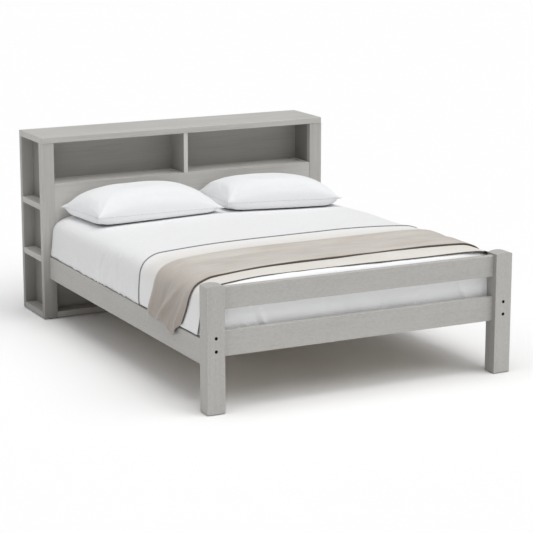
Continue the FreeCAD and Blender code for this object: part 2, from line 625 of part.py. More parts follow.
# hook plates in the rail ends and their receivers in the stiles
hooks, receivers, plate_screws = [], [], []
t = val("plate_thick")
zl, zh = val("side_rail_low") + 9, val("side_rail_high") - 5
for s in (-1, 1):
    h = brick(s * (PLATE_X - 10.8), s * (PLATE_X + 10.8), HB - t, HB, zl + 0.2, zh - 0.2)
    for hz in hook_z:
        h = h.fuse(brick(s * (PLATE_X - 1.5), s * (PLATE_X + 1.5), HB - t, HB + t + 5, hz, hz + 20))
        h = h.fuse(brick(s * (PLATE_X - 1.5), s * (PLATE_X + 1.5), HB + t + 1, HB + t + 5, hz - 6, hz + 2))
    for q in sleeves([((s * PLATE_X, HB, z), (0, -1, 0), 30) for z in plate_screw_z]):
        h = h.cut(q)
    hooks.append(h.removeSplitter())
    r = brick(s * (PLATE_X - 10.8), s * (PLATE_X + 10.8), HB, HB + t, zl + 0.2, zh - 0.2)
    for hz in hook_z:
        r = r.cut(brick(s * (PLATE_X - 2.5), s * (PLATE_X + 2.5), HB - 1, HB + t + 1, hz - 7, hz + 25))
    for q in sleeves([((s * PLATE_X, HB, z), (0, 1, 0), 28) for z in plate_screw_z]):
        r = r.cut(q)
    receivers.append(r)
    plate_screws += screws([((s * PLATE_X, HB - 0.05, z), (0, -1, 0), 30) for z in plate_screw_z])
    plate_screws += screws([((s * PLATE_X, HB + 0.05, z), (0, 1, 0), 28) for z in plate_screw_z])
keep("rail_hook_plates", solid_group("rail_hook_plates", hooks))
keep("hook_receivers", solid_group("hook_receivers", receivers))
keep("hook_plate_screws", solid_group("hook_plate_screws", plate_screws))

# ---------------------------------------------------------------- bed base
slat_boxes = []
for i in range(SLATS):
    slat_boxes.append(block("slat_blank_%02d" % (i + 1), ("-slat_half", "slat_half"),
                            ("slat_first + %d * slat_pitch" % i, "slat_first + %d * slat_pitch + slat_width" % i),
                            ("ledge_top", "ledge_top + slat_thick")))
slat_set = doc.addObject("Part::Compound", "slat_set")
slat_set.Links = slat_boxes
keep("slats", cut(slat_set, sleeves(slat_spots), "slats"))
keep("slat_screws", solid_group("slat_screws", screws(slat_spots)))

beam = block("centre_beam_blank", ("-beam_width / 2", "beam_width / 2"),
             ("rail_setback + rail_thick + plate_thick", Y_HEAD + " + head_panel_setback - plate_thick"),
             ("ledge_top - beam_height", "ledge_top"))
leg_bolts, legs, feet = [], [], []
BEAM_LOW = val("ledge_top") - val("beam_height")
beam_holes = sleeves([q for q in slat_spots if abs(q[0][0]) < 1])
for y in (val("leg_front"), val("leg_rear")):
    beam_holes.append(cyl((0, y, BEAM_LOW - 1), (0, 0, 1), 4.1, 25))
    leg_bolts.append(cyl((0, y, BEAM_LOW - 30), (0, 0, 1), 4.0, 53))
    foot = cyl((0, y, 0), (0, 0, 1), 18, 8).fuse(cyl((0, y, 8), (0, 0, 1), 4.0, 44)).removeSplitter()
    feet.append(foot)
keep("centre_beam", cut(beam, beam_holes, "centre_beam"))
for name, alias in (("centre_leg_front", "leg_front"), ("centre_leg_rear", "leg_rear")):
    leg = block(name + "_blank", ("-leg_size / 2", "leg_size / 2"),
                ("%s - leg_size / 2" % alias, "%s + leg_size / 2" % alias),
                ("14", "ledge_top - beam_height"))
    leg = rounded(leg, 3, along("z"))
    keep(name, cut(leg, [cyl((0, val(alias), 13), (0, 0, 1), 4.1, 41),
                         cyl((0, val(alias), BEAM_LOW - 31), (0, 0, 1), 4.1, 40)], name))
keep("leg_bolts", solid_group("leg_bolts", leg_bolts))
keep("levelling_feet", solid_group("levelling_feet", feet))


def hanger(y_plate, direction, spots):
    """Steel saddle: a back plate, a seat and two cheeks round the beam end."""
    t_, w_ = val("plate_thick"), val("beam_width") / 2 + 0.3
    y0, y1 = sorted((y_plate, y_plate + direction * t_))
    g = brick(-61, 61, y0, y1, BEAM_LOW - t_, 328)
    a, b = sorted((y_plate + direction * t_, y_plate + direction * (t_ + 40)))
    g = g.fuse(brick(-(w_ + t_), w_ + t_, a, b, BEAM_LOW - t_, BEAM_LOW))
    for s_ in (-1, 1):
        g = g.fuse(brick(s_ * w_, s_ * (w_ + t_), a, b, BEAM_LOW, BEAM_LOW + 28))
    for q in sleeves(spots):
        g = g.cut(q)
    return g.removeSplitter()


keep("beam_hanger_foot", solid_group("beam_hanger_foot", [hanger(RAIL_Y1, 1, foot_hang)]))
keep("beam_hanger_head", solid_group("beam_hanger_head", [hanger(PANEL_Y, -1, head_hang)]))
keep("bracket_screws", solid_group("bracket_screws",
     screws(foot_hang + head_hang + bracket_spots["left"] + bracket_spots["right"])))

glide_spots = [(s * BOLT_X, PD / 2) for s in (-1, 1)]
glide_spots += [(s * (HW - 39), HB + 18.5) for s in (-1, 1)]
glide_spots += [(s * (HW - 39), HE - 16) for s in (-1, 1)]
glide_spots += [(0, HB + 40), (0, HE - 40)]
keep("floor_glides", solid_group("floor_glides",
     [cyl((x, y, 0), (0, 0, 1), val("glide_radius"), val("glide_height")) for x, y in glide_spots]))

# ---------------------------------------------------------------- bedding
mat = block("mattress_blank", ("-mattress_half", "mattress_half"),
            ("mattress_foot", "mattress_head"), ("mattress_low", "mattress_high"))
mat = rounded(mat, 40, along("z"))
keep("mattress", mat)


def wrap(node, half, gap_half, y0, y1, open_y0, open_y1, low, high, gap_high, corner=None):
    """Cloth cap over the bed: an outer block less the space under it."""
    outer = block(node + "_outer", ("-" + half, half), (y0, y1), (low, high))
    if corner:
        outer = rounded(outer, corner, lambda a, m, bb: a == "z" and m.y < bb.Center.y)
    inner = block(node + "_space", ("-(%s)" % gap_half, gap_half), (open_y0, open_y1), ("%s - 50" % low, gap_high))
    if corner:
        inner = rounded(inner, corner - 20, lambda a, m, bb: a == "z" and m.y < bb.Center.y)
    c_ = doc.addObject("Part::Cut", node)
    c_.Base, c_.Tool = outer, inner
    return keep(node, c_)


wrap("duvet", "duvet_half", "mattress_half + duvet_gap", "duvet_foot", "duvet_head",
     "mattress_foot - duvet_gap", "duvet_head + 60", "duvet_low", "duvet_high",
     "mattress_high + duvet_gap", 60)
wrap("under_blanket", "blanket_half", "blanket_half - blanket_thick", "blanket_foot", "blanket_head",
     "blanket_foot - 50", "blanket_head + 50", "blanket_low", "blanket_high", "blanket_high - blanket_thick")
wrap("throw_blanket", "throw_half", "throw_half - throw_thick", "throw_foot", "throw_head",
     "throw_foot - 50", "throw_head + 50", "throw_low", "throw_high", "throw_high - throw_thick")

for side, s in SIDE.items():
    p = block("pillow_blank_" + side, ("pillow_in", "pillow_out"), ("pillow_foot", "pillow_head"),
              ("pillow_low", "pillow_high"), s)
    keep("pillow_" + side, rounded(p, 60))

doc.recompute()

# ---------------------------------------------------------------- checks and output
for obj in doc.Objects:
    if "Invalid" in obj.State or "Error" in obj.State:
        raise RuntimeError("%s is in state %s" % (obj.Name, obj.State))
for node, obj in NODES.items():
    if obj.Shape.isNull() or not obj.Shape.isValid() or not obj.Shape.Solids:
        raise RuntimeError("%s has no valid solid" % node)

os.makedirs("parts", exist_ok=True)
total = 0.0
for node, obj in sorted(NODES.items()):
    obj.Shape.exportStep("parts/%s.step" % node)
    total += obj.Shape.Volume
    print("%-24s solids %3d  volume %.1f cm3" % (node, len(obj.Shape.Solids), obj.Shape.Volume / 1000.0))
print("nodes", len(NODES))
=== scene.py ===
import bpy
import bmesh
import math
import numpy as np
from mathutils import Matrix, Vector, noise


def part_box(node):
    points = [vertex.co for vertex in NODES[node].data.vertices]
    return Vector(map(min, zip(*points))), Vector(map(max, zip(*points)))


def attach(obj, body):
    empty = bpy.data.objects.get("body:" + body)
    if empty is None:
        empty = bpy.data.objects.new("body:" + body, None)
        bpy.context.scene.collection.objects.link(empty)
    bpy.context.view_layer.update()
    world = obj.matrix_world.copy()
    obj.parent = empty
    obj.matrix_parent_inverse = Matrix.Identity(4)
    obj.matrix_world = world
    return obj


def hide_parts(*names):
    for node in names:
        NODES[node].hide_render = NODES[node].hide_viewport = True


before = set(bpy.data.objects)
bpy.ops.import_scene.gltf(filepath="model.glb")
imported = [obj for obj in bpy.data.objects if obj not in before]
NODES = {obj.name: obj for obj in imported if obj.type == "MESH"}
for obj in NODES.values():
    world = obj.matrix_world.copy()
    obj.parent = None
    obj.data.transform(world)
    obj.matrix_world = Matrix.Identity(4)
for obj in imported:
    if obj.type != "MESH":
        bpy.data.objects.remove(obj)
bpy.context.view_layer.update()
scene = bpy.context.scene


def Y(mm):
    """Millimetres from the foot post fronts to metres in the row frame."""
    return (np.asarray(mm, float) - 1227.5) / 1000.0


# ------------------------------------------------------------------ camera
cam_data = bpy.data.cameras.new("camera")
cam_data.sensor_fit = "HORIZONTAL"
cam_data.sensor_width = 36.0
cam_data.lens = 128.95
cam_data.clip_start = 0.1
cam_data.clip_end = 400.0
camera = bpy.data.objects.new("camera", cam_data)
scene.collection.objects.link(camera)
yaw, pitch = math.radians(26.966), math.radians(12.756)
look = Vector((math.sin(yaw) * math.cos(pitch), math.cos(yaw) * math.cos(pitch), -math.sin(pitch)))
camera.location = (-4.5647, -9.1268, 2.7082)
camera.rotation_euler = look.to_track_quat("-Z", "Y").to_euler()
scene.camera = camera

# ------------------------------------------------------------------ light
scene.view_settings.view_transform = "Standard"
scene.view_settings.look = "None"
scene.view_settings.exposure = 0.0
scene.view_settings.gamma = 1.0
world = bpy.data.worlds.new("studio")
scene.world = world
world.use_nodes = True
bg = world.node_tree.nodes["Background"]
bg.inputs["Color"].default_value = (1.0, 1.0, 1.0, 1.0)
bg.inputs["Strength"].default_value = 0.245


def sun(name, direction, strength, angle):
    data = bpy.data.lights.new(name, "SUN")
    data.energy = strength
    data.angle = math.radians(angle)
    ob = bpy.data.objects.new(name, data)
    ob.rotation_euler = Vector(direction).to_track_quat("-Z", "Y").to_euler()
    scene.collection.objects.link(ob)
    return ob


sun("soft_top", (0.0, 0.0, -1.0), 1.16, 42)
sun("soft_front", (0.0, 0.8, -1.0), 0.52, 42)
sun("soft_left", (0.8, 0.0, -1.0), 0.42, 42)
sun("soft_right", (-0.6, 0.5, -1.0), 0.80, 42)


# ------------------------------------------------------------------ node helper
class Mat:
    """A material with short ways to add and join nodes."""

    def __init__(self, name):
        self.m = bpy.data.materials.new(name)
        self.m.use_nodes = True
        self.t = self.m.node_tree
        self.t.nodes.clear()
        self.out = self.t.nodes.new("ShaderNodeOutputMaterial")
        self.b = self.t.nodes.new("ShaderNodeBsdfPrincipled")
        self.t.links.new(self.b.outputs["BSDF"], self.out.inputs["Surface"])
        self.coord = self.t.nodes.new("ShaderNodeTexCoord")

    def set(self, **kw):
        for k, v in kw.items():
            self.b.inputs[k.replace("_", " ")].default_value = v

    def link(self, a, b):
        self.t.links.new(a, b)

    def node(self, kind, **props):
        n = self.t.nodes.new(kind)
        for k, v in props.items():
            setattr(n, k, v)
        return n

    def place(self, scale=(1, 1, 1), loc=(0, 0, 0), rot=(0, 0, 0), source="Object"):
        n = self.node("ShaderNodeMapping")
        n.inputs["Scale"].default_value = scale
        n.inputs["Location"].default_value = loc
        n.inputs["Rotation"].default_value = rot
        self.link(self.coord.outputs[source], n.inputs["Vector"])
        return n.outputs["Vector"]

    def noise(self, vec, scale, detail=3.0, rough=0.5, distort=0.0):
        n = self.node("ShaderNodeTexNoise")
        n.inputs["Scale"].default_value = scale
        n.inputs["Detail"].default_value = detail
        n.inputs["Roughness"].default_value = rough
        n.inputs["Distortion"].default_value = distort
        self.link(vec, n.inputs["Vector"])
        return n.outputs["Fac"]

    def math(self, op, a, b=None, clamp=False):
        n = self.node("ShaderNodeMath", operation=op, use_clamp=clamp)
        for i, v in enumerate((a, b)):
            if v is None:
                continue
            if isinstance(v, (int, float)):
                n.inputs[i].default_value = v
            else:
                self.link(v, n.inputs[i])
        return n.outputs[0]

    def ramp(self, fac, stops):
        n = self.node("ShaderNodeValToRGB")
        el = n.color_ramp.elements
        while len(el) < len(stops):
            el.new(0.5)
        for e, (p, c) in zip(el, stops):
            e.position = p
            e.color = (*c, 1.0)
        self.link(fac, n.inputs["Fac"])
        return n.outputs["Color"]

    def mix(self, fac, a, b, mode="MIX"):
        n = self.node("ShaderNodeMix", data_type="RGBA", blend_type=mode)
        for sock, v in ((n.inputs[0], fac), (n.inputs[6], a), (n.inputs[7], b)):
            if isinstance(v, (int, float)):
                sock.default_value = v
            elif isinstance(v, tuple):
                sock.default_value = (*v, 1.0)
            else:
                self.link(v, sock)
        return n.outputs[2]

    def bump(self, height, strength, distance, after=None):
        n = self.node("ShaderNodeBump")
        n.inputs["Strength"].default_value = strength
        n.inputs["Distance"].default_value = distance
        self.link(height, n.inputs["Height"])
        if after is not None:
            self.link(after, n.inputs["Normal"])
        return n.outputs["Normal"]

    def finish(self, color=None, normal=None, rough=None):
        if color is not None:
            self.link(color, self.b.inputs["Base Color"])
        if normal is not None:
            self.link(normal, self.b.inputs["Normal"])
        if rough is not None:
            self.link(rough, self.b.inputs["Roughness"])
        return self.m


def stretched(axis, along, across):
    s = [across] * 3
    s["xyz".index(axis)] = along
    return tuple(s)


def paint(axis, shade=1.0, tag="", grain=1.0, low=0.0):
    """Satin grey paint over timber: the grain shows through as soft streaks
    along the board, with fine pores and a slightly uneven coat. shade scales
    the colour as painted light and shade, and low mixes in painted shade that
    darkens the lowest half metre towards the floor."""
    m = Mat("grey_paint_" + axis + tag)
    streak = m.noise(m.place(stretched(axis, 1.1, 21)), 1.0, 5.0, 0.62, 0.5)
    fine = m.noise(m.place(stretched(axis, 5.0, 190), (3.1, 1.7, 0.4)), 1.0, 3.0, 0.6)
    cloud = m.noise(m.place((1, 1, 1), (5.0, 2.0, 1.0)), 3.2, 2.0, 0.5)
    v = m.math("ADD", m.math("MULTIPLY", streak, 0.42), m.math("MULTIPLY", fine, 0.38))
    v = m.math("ADD", v, m.math("MULTIPLY", cloud, 0.20))
    if grain != 1.0:
        mottle = m.noise(m.place(stretched(axis, 60, 150), (2.0, 5.0, 1.0)), 1.0, 3.0, 0.6)
        v = m.math("ADD", m.math("MULTIPLY", v, grain), m.math("MULTIPLY", mottle, 1.0 - grain))
    g = [(0.38, (0.452, 0.440, 0.415)), (0.50, (0.502, 0.491, 0.466)), (0.63, (0.536, 0.526, 0.502))]
    # shade scales the colour: painted light and shade for boards that get more or less light
    col = m.ramp(v, [(p, tuple(c * shade for c in rgb)) for p, rgb in g])
    pore = m.noise(m.place(stretched(axis, 16, 420), (0.7, 0.2, 2.2)), 1.0, 2.0, 0.5)
    pore = m.math("GREATER_THAN", pore, 0.66)
    col = m.mix(m.math("MULTIPLY", pore, 0.18), col, (0.33, 0.32, 0.30))
    # painted shade: low darkens the colour over the lowest half metre, standing in for the shade near the floor
    if low:
        height = m.node("ShaderNodeSeparateXYZ")
        m.link(m.place((1, 1, 1)), height.inputs[0])
        painted_floor_shade = m.math("SUBTRACT", 1.0, m.math("MULTIPLY", height.outputs[2], 2.0), True)
        col = m.mix(m.math("MULTIPLY", painted_floor_shade, low), col, (0.160, 0.155, 0.145))
    h = m.math("ADD", m.math("MULTIPLY", fine, 0.6), m.math("MULTIPLY", streak, 0.4))
    n = m.bump(h, 0.22, 0.0009)
    orange = m.noise(m.place((1, 1, 1)), 420.0, 2.0, 0.5)
    n = m.bump(orange, 0.10, 0.0003, n)
    m.set(Roughness=0.5, Specular_IOR_Level=0.32)
    r = m.math("ADD", m.math("MULTIPLY", cloud, 0.14), 0.43)
    return m.finish(col, n, r)


def timber(name, axis, light, dark):
    m = Mat(name)
    ring = m.noise(m.place(stretched(axis, 0.9, 24)), 1.0, 6.0, 0.6, 1.2)
    fine = m.noise(m.place(stretched(axis, 6.0, 260), (1.0, 4.0, 2.0)), 1.0, 2.0, 0.6)
    v = m.math("ADD", m.math("MULTIPLY", ring, 0.75), m.math("MULTIPLY", fine, 0.25))
    mid = tuple((a + b) / 2 for a, b in zip(light, dark))
    col = m.ramp(v, [(0.34, dark), (0.48, mid), (0.56, light), (0.70, tuple(c * 1.04 for c in light))])
    knot = m.node("ShaderNodeTexVoronoi", feature="F1")
    knot.inputs["Scale"].default_value = 1.0
    m.link(m.place(stretched(axis, 2.1, 9.0), (0.3, 0.8, 0.1)), knot.inputs["Vector"])
    k = m.math("LESS_THAN", knot.outputs["Distance"], 0.085)
    col = m.mix(m.math("MULTIPLY", k, 0.7), col, (0.23, 0.13, 0.06))
    n = m.bump(v, 0.3, 0.0012)
    m.set(Roughness=0.68, Specular_IOR_Level=0.25)
    return m.finish(col, n)


def metal(name, base, rough, scratch=0.12):
    m = Mat(name)
    a = m.noise(m.place((220, 220, 14)), 1.0, 3.0, 0.6)
    b = m.noise(m.place((1, 1, 1), (2, 1, 0)), 55.0, 3.0, 0.5)
    col = m.ramp(m.math("ADD", m.math("MULTIPLY", a, 0.5), m.math("MULTIPLY", b, 0.5)),
                 [(0.35, tuple(c * 0.82 for c in base)), (0.65, tuple(min(1.0, c * 1.08) for c in base))])
    n = m.bump(a, scratch, 0.0003)
    m.set(Metallic=1.0)
    r = m.math("ADD", m.math("MULTIPLY", b, 0.2), rough - 0.1)
    return m.finish(col, n, r)


def plastic(name, base, rough):
    m = Mat(name)
    a = m.noise(m.place((1, 1, 1)), 900.0, 2.0, 0.5)
    b = m.noise(m.place((1, 1, 1)), 30.0, 2.0, 0.5)
    col = m.ramp(b, [(0.3, tuple(c * 0.85 for c in base)), (0.7, tuple(c * 1.15 for c in base))])
    m.set(Roughness=rough)
    return m.finish(col, m.bump(a, 0.2, 0.0002))


def weave(m, pitch, source="Object"):
    """A plain weave that follows whichever way the surface faces."""
    sep = m.node("ShaderNodeSeparateXYZ")
    m.link(m.coord.outputs[source], sep.inputs[0])
    k = 2 * math.pi / pitch
    s = {ax: m.math("SINE", m.math("MULTIPLY", sep.outputs[ax], k)) for ax in "XYZ"}
    geo = m.node("ShaderNodeNewGeometry")
    nrm = m.node("ShaderNodeSeparateXYZ")
    m.link(geo.outputs["Normal"], nrm.inputs[0])
    w = {ax: m.math("POWER", m.math("ABSOLUTE", nrm.outputs[ax]), 3.0) for ax in "XYZ"}
    xy = m.math("MULTIPLY", m.math("MULTIPLY", s["X"], s["Y"]), w["Z"])
    yz = m.math("MULTIPLY", m.math("MULTIPLY", s["Y"], s["Z"]), w["X"])
    xz = m.math("MULTIPLY", m.math("MULTIPLY", s["X"], s["Z"]), w["Y"])
    return m.math("ADD", m.math("ADD", xy, yz), xz)


def cotton(name, base, pitch=0.0016, crease=0.35, sheen=0.08, foot=None):
    """Woven bed linen: fine weave, faint slubs and small pressing creases, with painted shade where the creases dip
    and, when foot is given, painted light that pales the foot end.
    """
    m = Mat(name)
    w = weave(m, pitch)
    slub = m.noise(m.place((40, 900, 40)), 1.0, 2.0, 0.5)
    slub2 = m.noise(m.place((900, 40, 900), (0.5, 0.1, 0.9)), 1.0, 2.0, 0.5)
    soft = m.noise(m.place((1, 1, 1), (1.3, 0.4, 0.8)), 7.0, 4.0, 0.55, 0.6)
    small = m.noise(m.place((1.0, 1.0, 0.45)), 34.0, 4.0, 0.55, 0.8)
    v = m.math("ADD", m.math("MULTIPLY", slub, 0.5), m.math("MULTIPLY", slub2, 0.5))
    col = m.ramp(v, [(0.3, tuple(c * 0.955 for c in base)), (0.55, base), (0.75, tuple(min(1.0, c * 1.02) for c in base))])
    # painted shade: the colour is a little darker where the crease bump dips
    col = m.mix(m.math("MULTIPLY", m.math("SUBTRACT", 0.62, soft, True), 0.10), col, tuple(c * 0.93 for c in base))
    # painted light: foot pales the cloth towards the foot end, brightening the foot face that the foot rails shade
    if foot is not None:
        pos = m.node("ShaderNodeSeparateXYZ")
        m.link(m.coord.outputs["Object"], pos.inputs[0])
        near = m.math("MULTIPLY", m.math("SUBTRACT", -0.99, pos.outputs[1]), 12.0, True)
        near = m.math("MINIMUM", near, 1.0)
        col = m.mix(near, col, foot)
    n = m.bump(soft, crease, 0.010)
    n = m.bump(small, crease * 0.5, 0.0030, n)
    n = m.bump(w, 0.25, 0.0003, n)
    m.set(Roughness=0.88, Specular_IOR_Level=0.18, Sheen_Weight=sheen, Sheen_Roughness=0.45)
    return m.finish(col, n)


PAINT = {a: paint(a) for a in "xyz"}
PINE = {a: timber("pine_" + a, a, (0.70, 0.62, 0.52), (0.58, 0.49, 0.39)) for a in "xyz"}
DOWEL = timber("beech_dowel", "z", (0.62, 0.44, 0.27), (0.50, 0.33, 0.18))
ZINC = metal("zinc_plate", (0.62, 0.64, 0.66), 0.42)
SCREW = metal("zinc_screw", (0.70, 0.67, 0.58), 0.36)
BLACK = metal("black_bolt", (0.018, 0.018, 0.020), 0.5)
NYLON = plastic("dark_plastic", (0.020, 0.020, 0.022), 0.55)

looks = {
    "x": "headboard_top_board compartment_shelf compartment_back head_panel inner_web_panel base_board rear_panel "
         "upper_shelf_left upper_shelf_right lower_shelf_left lower_shelf_right side_base_left side_base_right "
         "foot_rail_top foot_rail_lower",
    "y": "side_rail_left side_rail_right",
    "z": "front_stile_left front_stile_right rear_stile_left rear_stile_right inner_side_left inner_side_right "
         "compartment_divider foot_post_left foot_post_right",
}
node_material = {}
for axis, names in looks.items():
    for n in names.split():
        node_material[n] = PAINT[axis]
for n in ("upper_shelf_left", "upper_shelf_right", "lower_shelf_left", "lower_shelf_right",
          "side_base_left", "side_base_right"):
    node_material[n] = PAINT["y"]
# painted light and shade: each board's grey is made darker or paler to stand
# in for the light it gets: darker inside the compartments and cubbies, on the
# rear boards and under the bed, paler on the boards that face up or face the
# front light; the foot posts and rails get small darker steps as well
for n, a, shade in (("compartment_back", "x", 0.80), ("inner_side_left", "z", 0.52), ("inner_side_right", "z", 0.54),
                    ("inner_web_panel", "x", 0.85), ("rear_stile_left", "z", 0.86), ("rear_stile_right", "z", 0.86),
                    ("rear_panel", "x", 0.90), ("front_stile_left", "z", 1.0), ("front_stile_right", "z", 1.0), ("side_base_left", "y", 0.96),
                    ("side_base_right", "y", 0.96), ("headboard_top_board", "x", 1.07), ("head_panel", "x", 1.14),
                    ("compartment_shelf", "x", 1.34), ("compartment_divider", "z", 1.34),
                    ("foot_post_left", "z", 0.95), ("foot_post_right", "z", 0.995), ("foot_rail_top", "x", 0.965), ("foot_rail_lower", "x", 0.965),
                    ("side_rail_left", "y", 0.96), ("side_rail_right", "y", 0.96)):
    # painted shade: the stiles and side base boards also darken towards the floor
    low = 0.70 if "stile" in n else (0.42 if "base" in n else 0.0)
    node_material[n] = paint(a, shade, "_" + n, 0.5 if "rail" in n or "foot_post" in n else 1.0, low)
for n, a in (("head_panel_battens", "z"), ("rear_top_rail", "x"), ("rear_centre_batten", "z"),
             ("slat_ledge_left", "y"), ("slat_ledge_right", "y"), ("centre_beam", "y"),
             ("centre_leg_front", "z"), ("centre_leg_rear", "z"), ("slats", "x")):
    node_material[n] = PINE[a]
for n in ("carcass_dowels", "foot_rail_dowels"):
    node_material[n] = DOWEL
for n in ("corner_bracket_left", "corner_bracket_right", "rail_hook_plates", "hook_receivers",
          "beam_hanger_foot", "beam_hanger_head", "cam_housings", "cam_bolts"):
    node_material[n] = ZINC
for n in ("wood_screws", "bracket_screws", "hook_plate_screws", "rear_panel_screws", "slat_screws", "leg_bolts"):
    node_material[n] = SCREW
node_material["foot_bolts"] = BLACK
node_material["floor_glides"] = node_material["levelling_feet"] = NYLON
for n, m in node_material.items():
    ob = NODES[n]
    if not ob.material_slots:
        ob.data.materials.append(m)
    for s in ob.material_slots:
        s.material = m


# painted shade: the divider's sides and the foot posts' inner faces get a darker
# copy of the paint, standing in for the shade on them; the walls of the drilled
# recesses in the foot posts get a near-black material as painted shade in the holes
RECESS_SHADE = plastic("recess_painted_shade", (0.022, 0.021, 0.020), 0.7)
for name, tag, shade, grain in (("compartment_divider", "divider_side", 0.84, 1.0),
                                ("foot_post_left", "post_inner", 0.72, 0.5), ("foot_post_right", "post_inner", 0.72, 0.5)):
    mesh = NODES[name].data
    mesh.materials.append(paint("z", shade, "_" + tag, grain))
    mid = sum(v.co.x for v in mesh.vertices) / len(mesh.vertices)
    for poly in mesh.polygons:
        if abs(poly.normal.x) > 0.9 and ("post" not in name or (poly.center.x - mid) * mid < 0):
            poly.material_index = len(mesh.materials) - 1
bolt_points = np.array([v.co[:] for v in NODES["foot_bolts"].data.vertices])
for name, sgn in (("foot_post_left", -1), ("foot_post_right", 1)):
    mine = bolt_points[bolt_points[:, 0] * sgn > 0]
    head = mine[mine[:, 1] < mine[:, 1].min() + 0.003]
    cx = (head[:, 0].min() + head[:, 0].max()) / 2
    low, high = head[:, 2].min(), head[:, 2].max()
    centres = [head[head[:, 2] < (low + high) / 2][:, 2], head[head[:, 2] > (low + high) / 2][:, 2]]
    centres = [(c.min() + c.max()) / 2 for c in centres]
    front = min(v.co.y for v in NODES[name].data.vertices)
    mesh = NODES[name].data
    mesh.materials.append(RECESS_SHADE)
    for poly in mesh.polygons:
        c = poly.center
        near = min(math.hypot(c.x - cx, c.z - cz) for cz in centres)
        if near < 0.0095 and c.y > front + 0.0002:
            poly.material_index = len(mesh.materials) - 1


# ------------------------------------------------------------------ mesh helpers
def spline(points, n):
    """n points evenly spaced along a smooth curve through the given points."""
    p = np.asarray(points, float)
    q = np.vstack([2 * p[0] - p[1], p, 2 * p[-1] - p[-2]])
    out = []
    for i in range(1, len(q) - 2):
        u = np.linspace(0, 1, 24, endpoint=False)[:, None]
        a, b, c, d = q[i - 1], q[i], q[i + 1], q[i + 2]
        out.append(0.5 * (2 * b + (c - a) * u + (2 * a - 5 * b + 4 * c - d) * u ** 2
                          + (3 * b - a - 3 * c + d) * u ** 3))
    out.append(q[-2][None])
    f = np.vstack(out)
    s = np.concatenate([[0], np.cumsum(np.linalg.norm(np.diff(f, axis=0), axis=1))])
    t = np.linspace(0, s[-1], n)
    return np.stack([np.interp(t, s, f[:, k]) for k in range(f.shape[1])], axis=1), s[-1]


def smooth_interp(x, xs, ys):
    """Interpolates through control values and rounds the corners between them."""
    xs, ys = np.asarray(xs, float), np.asarray(ys, float)
    w = 0.018 * (xs[-1] - xs[0])
    return (np.interp(x - w, xs, ys) + 2 * np.interp(x, xs, ys) + np.interp(x + w, xs, ys)) / 4.0


def bell(x, c, w):
    return np.exp(-((x - c) / w) ** 2)


def step(x, a, b):
    t = np.clip((x - a) / (b - a), 0, 1)
    return t * t * (3 - 2 * t)


def fractal(x, y, z, scale, octaves=3):
    """Smooth noise at arrays of points, always the same."""
    flat = np.stack(np.broadcast_arrays(x, y, z), -1).reshape(-1, 3) * scale
    v = np.array([noise.fractal(Vector(p), 1.0, 2.0, octaves) for p in flat])
    return v.reshape(np.broadcast(x, y, z).shape)


def new_object(name, verts, faces, material, uv=None):
    me = bpy.data.meshes.new(name)
    me.from_pydata([tuple(map(float, v)) for v in verts], [], [tuple(map(int, f)) for f in faces])
    me.update()
    me.polygons.foreach_set("use_smooth", [True] * len(me.polygons))
    if uv is not None:
        layer = me.uv_layers.new(name="cloth")
        idx = np.zeros(len(me.loops), int)
        me.loops.foreach_get("vertex_index", idx)
        layer.data.foreach_set("uv", np.asarray(uv, float)[idx].ravel())
    ob = bpy.data.objects.new(name, me)
    scene.collection.objects.link(ob)
    me.materials.append(material)
    return ob


def grid_normals(P):
    gi = np.gradient(P, axis=0)
    gj = np.gradient(P, axis=1)
    n = np.cross(gj, gi)
    return n / np.maximum(np.linalg.norm(n, axis=2, keepdims=True), 1e-9)


def shell(name, P, thick, material, uv=None):
    """Closed sheet: the outer face is P (first index to the right, second to
    the foot), the inner face lies thick below it."""
    n, m = P.shape[:2]
    N = grid_normals(P)
    th = np.broadcast_to(np.asarray(thick, float), (n, m))[..., None]
    Q = P - N * th
    verts = np.concatenate([P.reshape(-1, 3), Q.reshape(-1, 3)])
    idx = np.arange(n * m).reshape(n, m)
    a, b, c, d = idx[:-1, :-1].ravel(), idx[:-1, 1:].ravel(), idx[1:, 1:].ravel(), idx[1:, :-1].ravel()
    faces = [*zip(a, b, c, d)]
    off = n * m
    faces += [*zip(d + off, c + off, b + off, a + off)]
    rim = list(idx[:, 0]) + list(idx[-1, 1:]) + list(idx[-2::-1, -1]) + list(idx[0, -2:0:-1])
    for p, q in zip(rim, rim[1:] + rim[:1]):
        faces.append((p, q, q + off, p + off))
    if uv is not None:
        uv = np.concatenate([uv.reshape(-1, 2), uv.reshape(-1, 2)])
    ob = new_object(name, verts, faces, material, uv)
    bm = bmesh.new()
    bm.from_mesh(ob.data)
    bmesh.ops.recalc_face_normals(bm, faces=bm.faces)
    bm.to_mesh(ob.data)
    bm.free()
    return ob


def subdivide(ob, levels=1):
    m = ob.modifiers.new("smooth", "SUBSURF")
    m.levels = m.render_levels = levels
    bake_modifiers(ob)


def bake_modifiers(ob):
    deps = bpy.context.evaluated_depsgraph_get()
    me = bpy.data.meshes.new_from_object(ob.evaluated_get(deps), depsgraph=deps)
    old = ob.data
    ob.modifiers.clear()
    ob.data = me
    me.name = ob.name
    bpy.data.meshes.remove(old)


